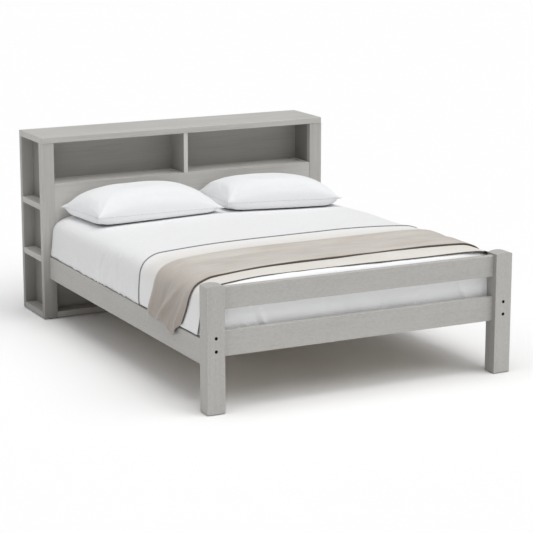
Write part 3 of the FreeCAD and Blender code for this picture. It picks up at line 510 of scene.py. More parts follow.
def tube(name, path, radius, material, sides=8, closed=False):
    """Round piping along a path of points."""
    p = np.asarray(path, float)
    n = len(p)
    tan = np.gradient(p, axis=0) if not closed else (np.roll(p, -1, 0) - np.roll(p, 1, 0))
    tan /= np.maximum(np.linalg.norm(tan, axis=1, keepdims=True), 1e-9)
    up = np.array([0.0, 0.0, 1.0])
    side = np.cross(tan[0], up)
    if np.linalg.norm(side) < 1e-3:
        side = np.cross(tan[0], np.array([0.0, 1.0, 0.0]))
    side /= np.linalg.norm(side)
    verts = []
    for i in range(n):
        side = side - tan[i] * np.dot(side, tan[i])
        side /= np.linalg.norm(side)
        other = np.cross(tan[i], side)
        for k in range(sides):
            a = 2 * math.pi * k / sides
            verts.append(p[i] + radius * (math.cos(a) * side + math.sin(a) * other))
    faces = []
    last = n if closed else n - 1
    for i in range(last):
        for k in range(sides):
            a, b = i * sides + k, i * sides + (k + 1) % sides
            j = (i + 1) % n
            faces.append((a, b, j * sides + (k + 1) % sides, j * sides + k))
    if not closed:
        faces.append(tuple(range(sides))[::-1])
        faces.append(tuple((n - 1) * sides + k for k in range(sides)))
    ob = new_object(name, verts, faces, material)
    bm = bmesh.new()
    bm.from_mesh(ob.data)
    bmesh.ops.recalc_face_normals(bm, faces=bm.faces)
    bm.to_mesh(ob.data)
    bm.free()
    return ob


# ------------------------------------------------------------------ bedding: the common surface
A0 = 0.702                      # half the flat width before the shoulder starts
B0 = 244.0                      # the flat top ends this far from the foot, mm
TOP = 0.612                     # height where the shoulder starts
SIDE = [(0, 0), (28, -2.5), (56, -9), (86, -21), (110, -38), (126, -62), (134, -92), (138, -132),
        (142, -168), (147, -200), (151.5, -224), (151.5, -238), (146, -246)]
FOOT = [(0, 0), (60, 0), (100, -1), (124, -4.5), (140, -12), (151, -25), (158, -50), (163, -92),
        (166, -150), (166, -205), (164, -236), (158, -246)]
LONG = SIDE[:-2] + [(152.5, -240), (154, -262), (155, -290), (155.5, -325), (155.5, -370)]


def crown(x, y):
    """Rise of the bed's top above the start of its shoulders."""
    x = np.asarray(x, float)
    y = np.asarray(y, float)
    u = np.clip(np.abs(x) / A0, 0, 1)
    high = 0.016 - 0.010 * step(y, 1250, 1700)
    low = -0.006 * step(y, 1300, 1750)
    ends = -0.012 * step(y, 1990, 2100) ** 2
    puff = 0.0030 * np.sin(y / 237.0 + x * 2.0) * np.cos(x * 4.3 + 0.6)
    fall = np.where(x > 0, 0.20 * u ** 4, u ** 2.6)
    full = 0.007 * step(x / A0, 0.25, 0.95) * step(-y, -1150, -520)
    return high * (1 - fall) + full + low + ends + puff * (1 - u ** 4)


def keep_crown(dz):
    """The crown's rise stays over the shoulder and is gone at mid height."""
    return 1 - step(-dz, 0.012, 0.15)


side_curve, side_len = spline(np.array(SIDE) / 1000.0, 260)
long_curve, long_len = spline(np.array(LONG) / 1000.0, 320)
side_e = np.linspace(0, side_len, 260)
long_e = np.linspace(0, long_len, 320)


def skin(a, y, curve=None, e_of=None):
    """Point of the bed's covered surface: a runs across the bed along the
    surface from the middle, y is in mm from the foot post fronts."""
    curve = side_curve if curve is None else curve
    e_of = side_e if e_of is None else e_of
    a = np.asarray(a, float)
    e = np.clip(np.abs(a) - A0, 0, e_of[-1])
    r = np.interp(e, e_of, curve[:, 0])
    dz = np.interp(e, e_of, curve[:, 1])
    sgn = np.where(a < 0, -1.0, 1.0)
    x = np.where(np.abs(a) <= A0, a, sgn * (A0 + r))
    z = TOP + dz + crown(np.clip(x, -A0, A0), y) * keep_crown(dz)
    return x, z


def offset_skin(a, y, h, curve=None, e_of=None):
    """The same surface moved out by h along its normal across the bed."""
    da = 0.002
    x0, z0 = skin(a - da, y, curve, e_of)
    x1, z1 = skin(a + da, y, curve, e_of)
    tx, tz = x1 - x0, z1 - z0
    ln = np.maximum(np.hypot(tx, tz), 1e-9)
    x, z = skin(a, y, curve, e_of)
    return x - h * tz / ln, z + h * tx / ln


# ------------------------------------------------------------------ duvet
def creases(along, drop, seed, strength):
    """Soft folds that run down the hanging sides and die out at the top."""
    v = np.zeros_like(along)
    rng = np.random.RandomState(seed)
    span = along.max() - along.min()
    for _ in range(max(4, int(span / 110))):
        c = along.min() + rng.rand() * span
        w = 14 + 30 * rng.rand()
        lean = (rng.rand() - 0.5) * 110
        top = 0.02 + 0.17 * rng.rand()
        amp = (0.8 + 1.6 * rng.rand()) * (1 if rng.rand() > 0.4 else -1)
        d = along - (c + lean * drop / 0.3)
        v += amp * bell(d, 0, w) * step(drop, top, top + 0.12)
    return v * strength / 1000.0


def fold(along, drop, line, width, amp):
    """One fold: a ridge with a valley beside it, along a line given as
    (drop, position) pairs, fading out at both ends."""
    line = np.asarray(line, float)
    d = along - np.interp(drop, line[:, 0], line[:, 1])
    lo, hi = line[0, 0], line[-1, 0]
    on = step(drop, lo - 0.020, lo + 0.095) * (1 - step(drop, hi - 0.01, hi + 0.05))
    return amp / 1000.0 * on * (bell(d, 0, width) - 0.75 * bell(d, -1.55 * width, 1.25 * width))


LEFT_FOLDS = [
    ([(0.030, 1312), (0.064, 1326), (0.135, 1385), (0.176, 1402), (0.232, 1388)], 12, 5.0),
    ([(0.022, 1160), (0.060, 1140), (0.108, 1165), (0.161, 1172), (0.220, 1168)], 11, 4.2),
    ([(0.110, 1000), (0.150, 1006), (0.200, 1024), (0.240, 1030)], 10, 3.6),
    ([(0.050, 1416), (0.111, 1434), (0.177, 1440), (0.236, 1432)], 11, 3.6),
    ([(0.070, 1236), (0.150, 1272), (0.240, 1300)], 12, 3.6),
    ([(0.130, 1560), (0.240, 1600)], 18, 3.0),
    ([(0.120, 1085), (0.240, 1104)], 12, 3.0),
    ([(0.140, 1345), (0.236, 1352)], 10, 2.6),
    ([(0.110, 1760), (0.240, 1735)], 26, 3.0),
]
RIGHT_FOLDS = [
    ([(0.040, 1420), (0.110, 1405), (0.240, 1350)], 20, 5.5),
    ([(0.050, 1120), (0.130, 1150), (0.240, 1190)], 18, 5.0),
    ([(0.090, 1700), (0.240, 1745)], 24, 4.5),
    ([(0.120, 1280), (0.240, 1262)], 16, 3.5),
    ([(0.100, 560), (0.240, 540)], 18, 3.5),
]
FOOT_FOLDS = [
    ([(0.070, -575), (0.130, -548), (0.240, -505)], 15, 5.0),
    ([(0.170, -640), (0.240, -600)], 12, 3.5),
    ([(0.150, 180), (0.240, 140)], 12, 3.5),
    ([(0.170, 260), (0.240, 235)], 10, 3.5),
    ([(0.160, 345), (0.240, 325)], 11, 3.0),
    ([(0.080, 610), (0.240, 640)], 20, 3.5),
    ([(0.150, -150), (0.240, -180)], 16, 2.5),
]


def build_duvet():
    na, ne = ((84, 30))
    a = np.linspace(-A0, A0, na)
    gap = ((20, 10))
    y = np.concatenate([np.linspace(2098, 1500, int(598 / gap[0]), endpoint=False),
                        np.linspace(1500, 940, int(560 / gap[1]), endpoint=False),
                        np.linspace(940, B0, int(696 / gap[0]))])
    foot_curve, foot_len = spline(np.array(FOOT) / 1000.0, ne)
    s_curve, _ = spline(np.array(SIDE) / 1000.0, ne)
    patches = []
    # flat top
    AA, YY = np.meshgrid(a, y, indexing="ij")
    patches.append(np.stack([AA, Y(YY), TOP + crown(AA, YY)], -1))
    # the two hanging sides
    for sgn in (-1, 1):
        E, YY = np.meshgrid(np.arange(ne), y, indexing="ij")
        r, dz = s_curve[E, 0], s_curve[E, 1]
        z = TOP + dz + crown(np.full_like(YY, sgn * A0, dtype=float), YY) * keep_crown(dz)
        P = np.stack([sgn * (A0 + r), Y(YY), z], -1)
        patches.append(P if sgn > 0 else P[::-1])
    # foot side
    E, XX = np.meshgrid(np.arange(ne), a, indexing="ij")
    r, dz = foot_curve[E, 0], foot_curve[E, 1]
    z = TOP + dz + crown(XX, np.full_like(XX, B0)) * keep_crown(dz)
    patches.append(np.stack([XX, Y(B0 - 1000 * r), z], -1).transpose(1, 0, 2))
    # two corners, nearly square in plan
    half = 14
    for sgn in (-1, 1):
        sq = [(1, j / half) for j in range(half)] + [((2 * half - j) / half, 1) for j in range(half, 2 * half + 1)]
        P = np.zeros((len(sq), ne, 3))
        for i, (cx, cy) in enumerate(sq):
            ln = math.hypot(cx, cy)
            cx, cy = cx / ln, cy / ln
            swell = (abs(cx) ** 5.5 + abs(cy) ** 5.5) ** (-1 / 5.5)
            mixf = step(math.atan2(cy, cx) / (math.pi / 2), 0.30, 0.96)
            r = s_curve[:, 0] * (1 - mixf) + foot_curve[:, 0] * mixf
            dz = s_curve[:, 1] * (1 - mixf) + foot_curve[:, 1] * mixf
            P[i, :, 0] = sgn * (A0 + r * swell * cx)
            P[i, :, 1] = Y(B0 - 1000 * r * swell * cy)
            P[i, :, 2] = TOP + dz + crown(sgn * A0, B0) * keep_crown(dz)
        patches.append(P)
    bm = bmesh.new()
    for P in patches:
        n, m = P.shape[:2]
        vs = [[bm.verts.new(P[i, j]) for j in range(m)] for i in range(n)]
        for i in range(n - 1):
            for j in range(m - 1):
                q = [vs[i][j], vs[i][j + 1], vs[i + 1][j + 1], vs[i + 1][j]]
                try:
                    bm.faces.new(q)
                except ValueError:
                    pass
    bmesh.ops.remove_doubles(bm, verts=bm.verts, dist=0.0008)
    bmesh.ops.dissolve_degenerate(bm, edges=bm.edges, dist=0.0003)
    bmesh.ops.recalc_face_normals(bm, faces=bm.faces)
    up = sum(f.normal.z * f.calc_area() for f in bm.faces)
    if up < 0:
        bmesh.ops.reverse_faces(bm, faces=bm.faces)
    me = bpy.data.meshes.new("duvet_soft")
    bm.to_mesh(me)
    bm.free()
    ob = bpy.data.objects.new("duvet_soft", me)
    scene.collection.objects.link(ob)
    subdivide(ob)
    me = ob.data
    co = np.zeros(len(me.vertices) * 3)
    me.vertices.foreach_get("co", co)
    co = co.reshape(-1, 3)
    nr = np.zeros(len(me.vertices) * 3)
    me.vertices.foreach_get("normal", nr)
    nr = nr.reshape(-1, 3)
    x, z = co[:, 0], co[:, 2]
    y = co[:, 1] * 1000.0 + 1227.5
    drop = np.clip(TOP - z, 0, 1)
    out = np.zeros(len(co))
    for sgn, folds, seed in ((-1, LEFT_FOLDS, 11), (1, RIGHT_FOLDS, 23)):
        on = step(sgn * x, A0 + 0.03, A0 + 0.09) * step(y, B0 - 60, B0 + 60)
        out += on * (creases(y, drop, seed, 1.6) + 1.5 * sum(fold(y, drop, *f) for f in folds))
    on = step(-y, -(B0 - 60), -(B0 - 120)) * (1 - step(np.abs(x), A0 - 0.02, A0 + 0.08))
    out += on * (creases(x * 1000, drop, 5, 1.5) + 1.5 * sum(fold(x * 1000, drop, *f) for f in FOOT_FOLDS))
    calm = 1 - 0.75 * step(y, 1400, 1580) * (z > 0.56) - 0.8 * step(-y, -230, -170) * step(np.abs(x), A0, A0 + 0.04)
    out += fractal(x * 1.6, co[:, 1], z, 3.2, 3) * 0.0022 * calm
    out += fractal(x, co[:, 1] * 1.4, z * 0.6 + 3.0, 9.0, 3) * 0.0010 * calm
    co += nr * out[:, None]
    me.vertices.foreach_set("co", co.ravel())
    me.polygons.foreach_set("use_smooth", [True] * len(me.polygons))
    me.materials.append(WHITE)
    sol = ob.modifiers.new("thick", "SOLIDIFY")
    sol.thickness = 0.020
    sol.offset = -1.0
    bake_modifiers(ob)
    return ob


# painted light: the duvet's foot end is given a paler white
WHITE = cotton("white_cotton", (0.845, 0.848, 0.856), foot=(0.955, 0.962, 0.972))
duvet = build_duvet()


# ------------------------------------------------------------------ coverlet
def fabric_cover(name):
    """Cream coverlet, paler towards its head-side edge and down its sides."""
    m = Mat(name)
    uv = m.node("ShaderNodeUVMap", uv_map="cloth")
    sep = m.node("ShaderNodeSeparateXYZ")
    m.link(uv.outputs[0], sep.inputs[0])
    rib = m.math("SINE", m.math("MULTIPLY", sep.outputs[1], 2 * math.pi / 0.0042))
    rib2 = m.math("SINE", m.math("MULTIPLY", sep.outputs[0], 2 * math.pi / 0.0026))
    w = m.math("ADD", m.math("MULTIPLY", rib, 0.6), m.math("MULTIPLY", rib2, 0.4))
    low = m.noise(m.place((1, 1, 1), (2.0, 0.0, 0.0)), 6.0, 3.0, 0.5)
    head = m.math("SUBTRACT", 1.0, m.math("MULTIPLY", sep.outputs[1], 4.8), True)
    side = m.math("SUBTRACT", m.math("MULTIPLY", m.math("ABSOLUTE", sep.outputs[0]), 6.5), 4.9, True)
    pale = m.math("MAXIMUM", head, side)
    cream = m.ramp(low, [(0.3, (0.745, 0.712, 0.668)), (0.7, (0.790, 0.760, 0.718))])
    col = m.mix(pale, cream, (0.865, 0.868, 0.868))
    n = m.bump(low, 0.3, 0.006)
    n = m.bump(w, 0.3, 0.0004, n)
    m.set(Roughness=0.9, Specular_IOR_Level=0.15, Sheen_Weight=0.08, Sheen_Roughness=0.5)
    return m.finish(col, n)


CREAM = fabric_cover("cream_coverlet")
ns, nt = ((210, 56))
end = A0 + side_len - 0.010
a = np.linspace(-end, end, ns)
t = np.linspace(0, 1, nt)
AA, TT = np.meshgrid(a, t, indexing="ij")


def cover_head(a):
    return smooth_interp(a, [-1.06, -1.03, -1.00, -0.96, -0.89, -0.84, -0.80, -0.75, -0.58, -0.42, -0.08, 0.10, 0.34, 0.50, 0.65, 0.71, 0.80, 1.06],
                         [795, 806, 826, 840, 841, 840, 850, 864, 877, 885, 896, 900, 893, 868, 838, 818, 814, 806])


def cover_foot(a):
    return smooth_interp(a, [-1.06, -0.80, -0.73, -0.60, -0.49, -0.38, -0.23, -0.08, 0.14, 0.30, 0.48, 0.62, 0.70, 0.80, 1.06],
                         [112, 112, 116, 130, 141, 138, 133, 126, 120, 122, 119, 112, 98, 96, 100])


YY = cover_head(AA) * (1 - TT) + cover_foot(AA) * TT
lift = 0.0056 + 0.0012 * np.sin(AA * 9 + TT * 7) * step(TT, 0.0, 0.1)
XX, ZZ = offset_skin(AA, YY, lift)
foot_drop = step(190 - YY, 0, 75) * np.where(np.abs(AA) < A0 + 0.05, 1, 0.0) * 0.004
P = np.stack([XX, Y(YY), ZZ - foot_drop], -1)
uv = np.stack([AA, (TT * 0.77)], -1)
coverlet = shell("coverlet", P, 0.0045, CREAM, uv)
subdivide(coverlet)


def piping_material(name, base):
    m = Mat(name)
    tw = m.noise(m.place((1, 1, 1)), 320.0, 2.0, 0.5)
    col = m.ramp(tw, [(0.35, tuple(c * 0.7 for c in base)), (0.65, tuple(min(1, c * 1.25) for c in base))])
    m.set(Roughness=0.8, Specular_IOR_Level=0.2)
    return m.finish(col, m.bump(tw, 0.5, 0.0008))


# painted shade: the grey, brown and taupe cords stand in for the thin shadow lines along the coverlet's and throw's
# edges; the taupe one also trims the mattress
SHADE_LINE_GREY = piping_material("grey_shade_line", (0.235, 0.235, 0.232))
SHADE_LINE_BROWN = piping_material("brown_shade_line", (0.150, 0.127, 0.108))
TAUPE_PIPING_AND_SHADE_LINE = piping_material("taupe_trim_and_shade_line", (0.185, 0.174, 0.158))


def edge_path(P, j, out, down=0.0):
    """Path of a piping along one long edge of a sheet, moved off it a little."""
    N = grid_normals(P)[:, j]
    e = P[:, j].copy()
    e += N * (-down)
    e[:, 1] += out
    return e


# painted shade: dark cords along the coverlet's head and foot edges
shade_line_head = tube("coverlet_shade_line_head", edge_path(P, 0, 0.0008, 0.0004), 0.0044, SHADE_LINE_GREY)
shade_line_foot = tube("coverlet_shade_line_foot", edge_path(P, -1, -0.0008, 0.0016), 0.0027, TAUPE_PIPING_AND_SHADE_LINE)

# ------------------------------------------------------------------ throw


def throw_material(name):
    """Brushed beige throw: twill ribs along its length, uneven dye streaks,
    a soft pile, a pale faded edge on the head side, and painted shade that
    darkens its hanging sides, more towards the hem."""
    m = Mat(name)
    uv = m.node("ShaderNodeUVMap", uv_map="cloth")
    mp = m.node("ShaderNodeMapping")
    mp.inputs["Scale"].default_value = (1.6, 46.0, 1.0)
    m.link(uv.outputs[0], mp.inputs["Vector"])
    streak = m.noise(mp.outputs[0], 1.0, 4.0, 0.6, 0.3)
    mp2 = m.node("ShaderNodeMapping")
    mp2.inputs["Scale"].default_value = (9.0, 240.0, 1.0)
    m.link(uv.outputs[0], mp2.inputs["Vector"])
    fine = m.noise(mp2.outputs[0], 1.0, 3.0, 0.6)
    cloud = m.noise(m.place((1.5, 4.0, 1.5), (0.2, 0.6, 0.1)), 2.6, 3.0, 0.55, 0.4)
    sep = m.node("ShaderNodeSeparateXYZ")
    m.link(uv.outputs[0], sep.inputs[0])
    rib = m.math("SINE", m.math("MULTIPLY", sep.outputs[1], 2 * math.pi / 0.0050))
    v = m.math("ADD", m.math("MULTIPLY", streak, 0.27), m.math("MULTIPLY", fine, 0.25))
    v = m.math("ADD", v, m.math("MULTIPLY", cloud, 0.48))
    col = m.ramp(v, [(0.34, (0.520, 0.479, 0.435)), (0.50, (0.596, 0.560, 0.512)), (0.64, (0.655, 0.624, 0.577))])
    side = m.math("MULTIPLY", m.math("SUBTRACT", m.math("ABSOLUTE", sep.outputs[0]), 0.69), 9.0, True)
    side = m.math("MINIMUM", side, 1.0)
    steep = m.math("ADD", m.math("MULTIPLY", side, 45.0), 14.0)
    edge = m.math("SUBTRACT", 1.0, m.math("MULTIPLY", sep.outputs[1], steep), True)
    edge = m.math("POWER", edge, 1.5)
    low = m.math("MULTIPLY", m.math("SUBTRACT", m.math("ABSOLUTE", sep.outputs[0]), 0.78), 4.5, True)
    low = m.math("MINIMUM", low, 1.0)
    # painted shade: the hanging sides darken in blotches and more towards the hem, standing in for the shade they hang
    # in
    painted_side_shade = m.math("MULTIPLY", side, m.math("ADD", m.math("MULTIPLY", cloud, 0.34), 0.10))
    painted_side_shade = m.math("ADD", painted_side_shade, m.math("MULTIPLY", low, 0.30))
    col = m.mix(painted_side_shade, col, (0.300, 0.245, 0.215))
    col = m.mix(edge, col, (0.800, 0.780, 0.745))
    pile = m.noise(m.place((1, 1, 1)), 260.0, 3.0, 0.6)
    n = m.bump(v, 0.35, 0.0016)
    n = m.bump(rib, 0.25, 0.0005, n)
    n = m.bump(pile, 0.3, 0.0008, n)
    m.set(Roughness=0.92, Specular_IOR_Level=0.12, Sheen_Weight=0.22, Sheen_Roughness=0.4)
    return m.finish(col, n)


BEIGE = throw_material("beige_throw")
n_side, n_top, nt = ((64, 104, 110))
t = np.linspace(0, 1, nt)


def throw_side(left):
    """One hanging end of the throw, from the shoulder down to its hem."""
    e_keys = np.array([0.0, 0.06, 0.11, 0.15, 0.21, 0.27, 0.32, 0.38, 0.45])
    if left:
        head = [690, 655, 642, 640, 650, 672, 682, 688, 690]
        foot = [240, 230, 229, 227, 243, 268, 286, 300, 306]
        hem_t = [0, 0.186, 0.35, 0.50, 0.62, 0.72, 0.80, 0.85, 0.90, 0.95, 1.0]
        hem_z = [356, 359, 359, 352, 338, 322, 313, 322, 350, 374, 392]
    else:
        head = [701, 694, 688, 684, 680, 676, 674, 672, 672]
        foot = [254, 248, 245, 246, 250, 256, 262, 267, 270]
        hem_t = [0, 0.15, 0.35, 0.55, 0.75, 1.0]
        hem_z = [340, 332, 326, 322, 318, 332]
    return e_keys, head, foot, hem_t, hem_z


def ridge(d, head_side, foot_side):
    """A fold's crest that is steep on one side and easy on the other."""
    return np.where(d > 0, np.exp(-(d / head_side) ** 2), np.exp(-(d / foot_side) ** 2))


def throw_fold(y, e, q, t, left):
    """How far the hanging cloth stands off, in metres; y in mm, e in metres
    down from the shoulder."""
    if left:
        main = np.interp(e, [0.05, 0.112, 0.158, 0.213, 0.273, 0.321, 0.36], [296, 319, 346, 403, 470, 510, 536])
        near = np.interp(e, [0.05, 0.111, 0.210, 0.323], [240, 246, 270, 330])
        hollow = np.interp(e, [0.03, 0.072, 0.134, 0.211, 0.294, 0.343], [505, 490, 455, 497, 540, 556])
        third = np.interp(e, [0.10, 0.20, 0.32], [600, 612, 640])
        v = 0.022 * ridge(y - main, 46, 12) * step(e, 0.07, 0.25)
        v += 0.013 * ridge(y - near, 30, 12) * step(e, 0.06, 0.26)
        v -= 0.0060 * bell(y - hollow, 0, 24) * step(e, 0.03, 0.12)
        v += 0.010 * ridge(y - third, 30, 13) * step(e, 0.14, 0.30)
        v += 0.005 * ridge(y - (main + near) / 2, 10, 14) * step(e, 0.17, 0.28)
    else:
        v = 0.013 * bell(t, 0.28 + 0.06 * q, 0.06) * step(q, 0.3, 1.0)
        v += 0.018 * ridge((0.60 - 0.06 * q - t) * 420, 14, 32) * step(q, 0.25, 1.0)
        v += 0.009 * bell(t, 0.86, 0.05) * step(q, 0.5, 1.0)
        v -= 0.004 * bell(t, 0.44, 0.05) * step(q, 0.2, 0.6)
    return v


LIFT = 0.0150                  # outer face of the throw above the duvet's skin
cols = []
for part in ("left", "top", "right"):
    if part == "top":
        aa = np.linspace(-A0, A0, n_top)
        A_, T_ = np.meshgrid(aa, t, indexing="ij")
        head = smooth_interp(A_, [-A0, -0.60, -0.45, -0.30, 0.0, 0.3, 0.6, A0],
                             [690, 708, 716, 720, 719, 717, 709, 701])
        foot = smooth_interp(A_, [-A0, -0.56, -0.42, -0.24, 0.0, 0.14, 0.33, 0.50, 0.64, A0],
                             [240, 258, 269, 269, 268, 283, 291, 283, 266, 254])
        Y_ = head * (1 - T_) + foot * T_
        w = T_ + 0.02 * np.sin(A_ * 5)
        h = LIFT + 0.0035 * np.sin(w * 9.0 + 0.4) * step(T_, 0.03, 0.2) - 0.0050 * bell(w, 0.34, 0.085) + 0.004 * bell(w, 0.58, 0.13)
        h = h - 0.0075 * (1 - step(T_, 0.0, 0.14))
        X_, Z_ = offset_skin(A_, Y_, h, long_curve, long_e)
        cols.append((np.stack([X_, Y(Y_), Z_], -1), A_, T_))
        continue
    left = part == "left"
    e_keys, head_k, foot_k, hem_t, hem_z = throw_side(left)
    q = np.linspace(0, 1, n_side + 1)[1:]
    Q_, T_ = np.meshgrid(q, t, indexing="ij")
    z_hem = smooth_interp(t, hem_t, np.array(hem_z) / 1000.0)
    dz_hem = z_hem - TOP
    order = np.argsort(long_curve[:, 1])
    e_hem = np.interp(dz_hem, long_curve[order, 1], long_e[order])
    E_ = Q_ * e_hem[None, :]
    head = smooth_interp(E_, e_keys, head_k)
    foot = smooth_interp(E_, e_keys, foot_k)
    Y_ = head * (1 - T_) + foot * T_
    sgn = -1.0 if left else 1.0
    w = T_ - 0.02
    h0 = LIFT + 0.0035 * np.sin(w * 9.0 + 0.4) * step(T_, 0.03, 0.2) - 0.0050 * bell(w, 0.34, 0.085) + 0.004 * bell(w, 0.58, 0.13)
    h0 = h0 - 0.0075 * (1 - step(T_, 0.0, 0.14))
    h1 = 0.0160
    h = h0 * (1 - step(Q_, 0.0, 0.35)) + h1 * step(Q_, 0.0, 0.35) + throw_fold(Y_, E_, Q_, T_, left)
    X_, Z_ = offset_skin(sgn * (A0 + E_), Y_, h, long_curve, long_e)
    Y_ = Y_ + 6.0 * np.sin(T_ * 19 + Q_ * 3) * step(Q_, 0.5, 1.0) * T_ * (1 - T_)
    block = (np.stack([X_, Y(Y_), Z_], -1), sgn * (A0 + E_), T_)
    cols.append(tuple(b[::-1] for b in block) if left else block)
P = np.concatenate([c[0] for c in cols], 0)
AA = np.concatenate([c[1] for c in cols], 0)
TT = np.concatenate([c[2] for c in cols], 0)
rip = fractal(P[..., 0] * 1.2, P[..., 1] * 3.0, P[..., 2], 4.0, 3) * 0.0016
P += grid_normals(P) * rip[..., None]
uv = np.stack([AA, TT * 0.47], -1)
thin = 0.0022 + 0.0048 * step(TT, 0.0, 0.16)
throw = shell("throw_beige", P, thin, BEIGE, uv)
subdivide(throw)
# painted shade: a dark cord along the throw's foot edge
shade_line_throw = tube("throw_shade_line", edge_path(P, -1, -0.0010, 0.0036), 0.0033, SHADE_LINE_BROWN)


# ------------------------------------------------------------------ pillows
def cloth_inflate(ob, pressure, frames, cap):
    """Blows the closed cloth up a little, without gravity, and keeps the result."""
    me = ob.data
    n = len(me.vertices)
    before = np.zeros(n * 3)
    me.vertices.foreach_get("co", before)
    mod = ob.modifiers.new("inflate", "CLOTH")
    s = mod.settings
    s.quality = 7
    s.mass = 0.25
    s.tension_stiffness = 22
    s.compression_stiffness = 14
    s.shear_stiffness = 6
    s.bending_stiffness = 0.6
    s.use_pressure = True
    s.uniform_pressure_force = pressure
    s.effector_weights.gravity = 0.0
    mod.point_cache.frame_start = 1
    mod.point_cache.frame_end = frames
    scene.frame_start, scene.frame_end = 1, frames
    for f in range(1, frames + 1):
        scene.frame_set(f)
    deps = bpy.context.evaluated_depsgraph_get()
    done = bpy.data.meshes.new_from_object(ob.evaluated_get(deps), depsgraph=deps)
    after = np.zeros(n * 3)
    done.vertices.foreach_get("co", after)
    bpy.data.meshes.remove(done)
    ob.modifiers.clear()
    scene.frame_set(1)
    move = (after - before).reshape(-1, 3)
    far = np.linalg.norm(move, axis=1, keepdims=True)
    move *= np.minimum(1.0, cap / np.maximum(far, 1e-9))
    me.vertices.foreach_set("co", (before.reshape(-1, 3) + move).ravel())
    me.update()


def pillow_mesh(name, spec, seed, material):
    """Two sewn panels: plump above the seam, rounded under below it, with
    gathers at the corners and a flat underside where it lies on the bed."""
    nx, ny = ((72, 48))
    u = np.sin(np.linspace(-1, 1, nx) * math.pi / 2 * 0.94) / math.sin(math.pi / 2 * 0.94)
    v = np.sin(np.linspace(-1, 1, ny) * math.pi / 2 * 0.94) / math.sin(math.pi / 2 * 0.94)
    U, V = np.meshgrid(u, v, indexing="ij")
    hx, hy = spec["half"]
    X = hx * U * (1 - 0.035 * (1 - np.abs(V) ** 2) * np.abs(U) ** 3)
    Yp = hy * V * (1 - 0.035 * (1 - np.abs(U) ** 2) * np.abs(V) ** 3)
    near_left = (1 - U) * (1 - V) / 4
    near_right = (1 + U) * (1 - V) / 4
    ear = (np.abs(U) * np.abs(V)) ** 7
    X, Yp = X * (1 + 0.020 * ear), Yp * (1 + 0.030 * ear)
    X = X + spec["shift"][0] * near_left + spec["reach"][0] * near_right
    Yp = Yp + spec["shift"][1] * near_left + spec["reach"][1] * near_right
    X = X + spec["behind"] * (1 - U) * (1 + V) / 4
    fl, fr, bl, br = spec["seam"]
    seam = ((1 - U) * (1 - V) * fl + (1 + U) * (1 - V) * fr + (1 - U) * (1 + V) * bl + (1 + U) * (1 + V) * br) / 4
    au, av = np.abs(U), np.abs(V)
    body = np.clip(1 - au ** 2.7, 0, 1) * np.clip(1 - av ** 2.4, 0, 1)
    c, s = math.cos(spec["turn"]), math.sin(spec["turn"])
    x = X * c - Yp * s + spec["centre"][0]
    y = X * s + Yp * c + spec["centre"][1]
    # the back edge is pressed against the headboard panel
    back = 2.020
    over = max(1.0, (y.max() - back) / (2.097 - back))
    w = 0.5 + 0.5 * U * spec["pressed"]
    y = np.where(y > back, back + (y - back) * (1 - (1 - 1 / over) * w), y)
    y = np.minimum(y, 2.098)
    rise = spec["top"] - (fl + fr + bl + br) / 4
    zt = seam + rise * body ** 0.59 * (1 + spec["lean"] * V)
    zt += fractal(X * 1.2 + seed, Yp * 1.4, np.full_like(X, seed * 0.7), 5.0, 2) * 0.0045 * body ** 0.4
    # gathers running in from the corners and small puckers along the seam
    for k, (cu, cv) in enumerate(((-1, -1), (-1, 1), (1, -1), (1, 1))):
        dx, dy = (1 - U * cu) * hx, (1 - V * cv) * hy
        r = np.hypot(dx, dy)
        ang = np.arctan2(dy, dx)
        fan = np.sin(ang * 9.0 + seed + k) * 0.6 + np.sin(ang * 15.0 + 2.0 * seed + 1.7 * k) * 0.4
        zt += 0.0030 * fan * bell(r, 0.115, 0.070)
    edge = np.minimum((1 - au) * hx, (1 - av) * hy)
    along = np.where((1 - au) * hx < (1 - av) * hy, Yp, X)
    zt += 0.0016 * np.sin(along * 150.0 + seed * 3 + 1.6 * np.sin(along * 37.0)) * bell(edge, 0.016, 0.016)
    # one long soft crease behind the front seam
    zt -= 0.0030 * bell(V, -0.80 + 0.05 * np.sin(U * 4 + seed), 0.055) * bell(U, 0.25, 0.55)
    edge = np.minimum((1 - au) * hx, (1 - av) * hy)
    tip = np.hypot((1 - au) * hx, (1 - av) * hy)
    sharp = np.where((U < 0) == (V < 0), 0.35, 1.0)
    floor_z = TOP + crown(np.clip(x, -A0, A0), y * 1000.0) + 0.0024
    deep = (np.clip(1 - au ** 5.6, 0, 1) * np.clip(1 - av ** 5.6, 0, 1)) ** 0.17
    deep = deep * (1 - 0.80 * sharp * np.exp(-(tip / 0.060) ** 2))
    zb = seam - (seam - floor_z) * deep
    belly = 0.014 * np.sin(np.clip(deep, 0, 1) ** 2 * math.pi) + 0.020 * deep ** 2 * np.exp(-edge / 0.05)
    far = np.hypot((x - spec["centre"][0]) / hx, (y - spec["centre"][1]) / hy)
    xl = x + belly * (x - spec["centre"][0]) / hx / np.maximum(far, 0.3)
    yl = np.minimum(y + belly * (y - spec["centre"][1]) / hy / np.maximum(far, 0.3), 2.0985)
    top_i = np.arange(nx * ny).reshape(nx, ny)
    verts = list(np.stack([x, Y(y * 1000.0), zt], -1).reshape(-1, 3))
    low_i = top_i.copy()
    for i in range(1, nx - 1):
        for j in range(1, ny - 1):
            low_i[i, j] = len(verts)
            verts.append((xl[i, j], float(Y(yl[i, j] * 1000.0)), zb[i, j]))
    faces = []
    for i in range(nx - 1):
        for j in range(ny - 1):
            faces.append((top_i[i, j], top_i[i + 1, j], top_i[i + 1, j + 1], top_i[i, j + 1]))
            faces.append((low_i[i, j], low_i[i, j + 1], low_i[i + 1, j + 1], low_i[i + 1, j]))
    ob = new_object(name, verts, faces, material)
    rim = list(top_i[:, 0]) + list(top_i[-1, 1:]) + list(top_i[-2::-1, -1]) + list(top_i[0, -2:0:-1])
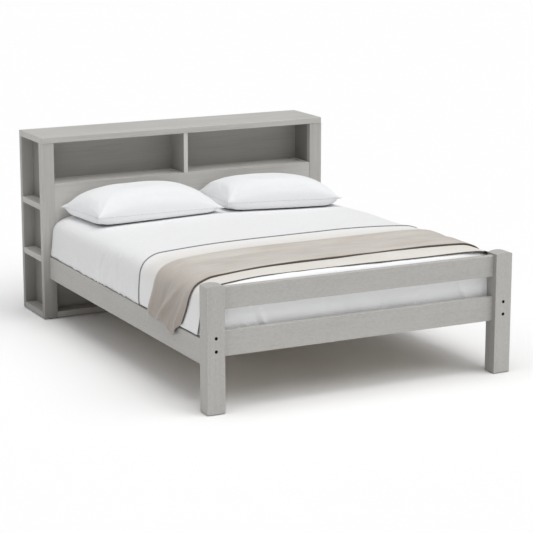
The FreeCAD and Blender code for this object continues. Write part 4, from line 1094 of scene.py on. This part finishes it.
    # the seam is drawn round, apart from the very tips of the corners
    weight = np.zeros(len(verts))
    soft = np.exp(-(edge / 0.020) ** 2) * (1 - 0.93 * np.exp(-(tip / 0.042) ** 2) * sharp)
    weight[top_i.ravel()] = soft.ravel()
    inner = low_i[1:-1, 1:-1].ravel()
    weight[inner] = soft[1:-1, 1:-1].ravel()
    me = ob.data
    pairs = np.zeros(len(me.edges) * 2, int)
    me.edges.foreach_get("vertices", pairs)
    pairs = pairs.reshape(-1, 2)
    p = np.array(verts, float)
    count = np.bincount(pairs.ravel(), minlength=len(p))[:, None]
    for _ in range(9):
        mean = np.zeros_like(p)
        np.add.at(mean, pairs[:, 0], p[pairs[:, 1]])
        np.add.at(mean, pairs[:, 1], p[pairs[:, 0]])
        p += 0.6 * weight[:, None] * (mean / count - p)
    me.vertices.foreach_set("co", p.ravel())
    me.update()
    return ob, rim


def make_pillow(name, spec, seed, material, pipe_mat):
    ob, rim = pillow_mesh(name, spec, seed, material)
    me = ob.data
    rest = np.zeros(len(me.vertices) * 3)
    me.vertices.foreach_get("co", rest)
    rest = rest.reshape(-1, 3)
    cloth_inflate(ob, 4.0, 18, 0.009)
    co = np.zeros(len(me.vertices) * 3)
    me.vertices.foreach_get("co", co)
    co = co.reshape(-1, 3)
    # it cannot sink into the bed or the headboard panel
    co[:, 2] = np.maximum(co[:, 2], np.minimum(rest[:, 2], 0.62))
    co[:, 2] = np.minimum(co[:, 2], spec["top"] + 0.004)
    co[:, 1] = np.minimum(co[:, 1], float(Y(2099)))
    me.vertices.foreach_set("co", co.ravel())
    me.update()
    path = co[rim]
    subdivide(ob)
    seam = tube(name + "_seam", path, 0.0013, pipe_mat, 6, closed=True)
    return ob, seam


LINEN = cotton("pillow_cotton", (0.850, 0.860, 0.872), crease=0.30)
SEAM = piping_material("seam_thread", (0.74, 0.755, 0.775))
LEFT_PILLOW = dict(centre=(-0.380, 1.886), turn=0.0814, half=(0.390, 0.236), shift=(-0.004, -0.008), reach=(0.014, -0.006), behind=0.0, pressed=1.0,
                   seam=(0.6706, 0.6457, 0.6534, 0.6529), top=0.7765, lean=0.07)
RIGHT_PILLOW = dict(centre=(0.3985, 1.831), turn=-0.183, half=(0.3650, 0.234), shift=(0.062, 0.020), reach=(0.006, 0.0), behind=-0.024, pressed=-1.0,
                    seam=(0.676, 0.6700, 0.6690, 0.640), top=0.7740, lean=0.02)
pillow_l, seam_l = make_pillow("pillow_soft_left", LEFT_PILLOW, 1.3, LINEN, SEAM)
pillow_r, seam_r = make_pillow("pillow_soft_right", RIGHT_PILLOW, 4.1, LINEN, SEAM)


# ------------------------------------------------------------------ mattress
def ticking(name):
    m = Mat(name)
    w = weave(m, 0.0021)
    quilt = m.node("ShaderNodeTexVoronoi", feature="SMOOTH_F1")
    quilt.inputs["Scale"].default_value = 14.0
    m.link(m.coord.outputs["Object"], quilt.inputs["Vector"])
    n0 = m.noise(m.place((1, 1, 1)), 18.0, 3.0, 0.5)
    col = m.ramp(n0, [(0.3, (0.74, 0.74, 0.72)), (0.7, (0.81, 0.81, 0.79))])
    n = m.bump(quilt.outputs["Distance"], 0.35, 0.012)
    n = m.bump(w, 0.3, 0.0004, n)
    m.set(Roughness=0.9, Specular_IOR_Level=0.15)
    return m.finish(col, n)


def build_mattress():
    TICK = ticking("mattress_ticking")
    lo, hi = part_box("mattress")
    r, n_arc = 0.055, 6
    x0, x1, y0, y1 = lo[0] + 0.004, hi[0] - 0.004, lo[1] + 0.004, hi[1] - 0.004
    ring = []
    for cx, cy, a0 in ((x1 - r, y1 - r, 0), (x0 + r, y1 - r, 90), (x0 + r, y0 + r, 180), (x1 - r, y0 + r, 270)):
        for k in range(n_arc + 1):
            an = math.radians(a0 + 90 * k / n_arc)
            ring.append((cx + r * math.cos(an), cy + r * math.sin(an)))
    dense = []
    for p, q in zip(ring, ring[1:] + ring[:1]):
        steps = max(1, int(math.dist(p, q) / 0.05))
        dense += [(p[0] + (q[0] - p[0]) * k / steps, p[1] + (q[1] - p[1]) * k / steps) for k in range(steps)]
    cx, cy = (x0 + x1) / 2, (y0 + y1) / 2
    rows = [(0.16, 0.0), (0.06, 0.0), (0.018, 0.0), (0.004, 0.006), (0.0, 0.016), (-0.003, 0.05), (-0.0035, 0.12),
            (-0.003, 0.19), (0.0, 0.226), (0.004, 0.236), (0.018, 0.241), (0.06, 0.242), (0.16, 0.242)]
    verts, faces = [], []
    for inset, h in rows:
        for px, py in dense:
            fx = (px - cx) * (1 - inset / (x1 - cx))
            fy = (py - cy) * (1 - inset / (y1 - cy))
            verts.append((cx + fx, cy + fy, lo[2] + h))
    m = len(dense)
    for i in range(len(rows) - 1):
        for k in range(m):
            faces.append((i * m + k, i * m + (k + 1) % m, (i + 1) * m + (k + 1) % m, (i + 1) * m + k))
    low_c, high_c = len(verts), len(verts) + 1
    verts += [(cx, cy, lo[2]), (cx, cy, lo[2] + 0.242)]
    last = (len(rows) - 1) * m
    for k in range(m):
        faces.append((low_c, (k + 1) % m, k))
        faces.append((high_c, last + k, last + (k + 1) % m))
    ob = new_object("mattress_soft", verts, faces, TICK)
    subdivide(ob)
    tapes = []
    for tag, inset, h in (("low", 0.0005, 0.0105), ("high", 0.0005, 0.2315)):
        path = []
        for px, py in dense:
            path.append((cx + (px - cx) * (1 - inset / (x1 - cx)), cy + (py - cy) * (1 - inset / (y1 - cy)), lo[2] + h))
        tapes.append(tube("mattress_piping_" + tag, path, 0.0035, TAUPE_PIPING_AND_SHADE_LINE, 8, closed=True))
    return ob, tapes


mattress, tapes = build_mattress()

# ------------------------------------------------------------------ floor
fl = bpy.data.meshes.new("floor")
fl.from_pydata([(-150, -150, 0), (150, -150, 0), (150, 150, 0), (-150, 150, 0)], [], [(0, 1, 2, 3)])
floor = bpy.data.objects.new("floor", fl)
scene.collection.objects.link(floor)
fm = Mat("pale_floor")
fn = fm.noise(fm.place((1, 1, 1)), 0.8, 2.0, 0.5)
fm.set(Roughness=0.95, Specular_IOR_Level=0.0)
fl.materials.append(fm.finish(fm.ramp(fn, [(0.0, (0.945, 0.945, 0.945)), (1.0, (0.95, 0.95, 0.95))])))
floor.location.z = -0.0005

# ------------------------------------------------------------------ what rides on what
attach(duvet, "bedding")
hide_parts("duvet")
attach(coverlet, "bedding")
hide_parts("under_blanket")
for p in (shade_line_head, shade_line_foot):
    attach(p, "bedding")
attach(throw, "bedding")
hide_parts("throw_blanket")
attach(shade_line_throw, "bedding")
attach(mattress, "bedding")
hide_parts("mattress")
for p in tapes:
    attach(p, "bedding")
for ob, seam, body in ((pillow_l, seam_l, "pillow_left"), (pillow_r, seam_r, "pillow_right")):
    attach(ob, body)
    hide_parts(body)
    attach(seam, body)
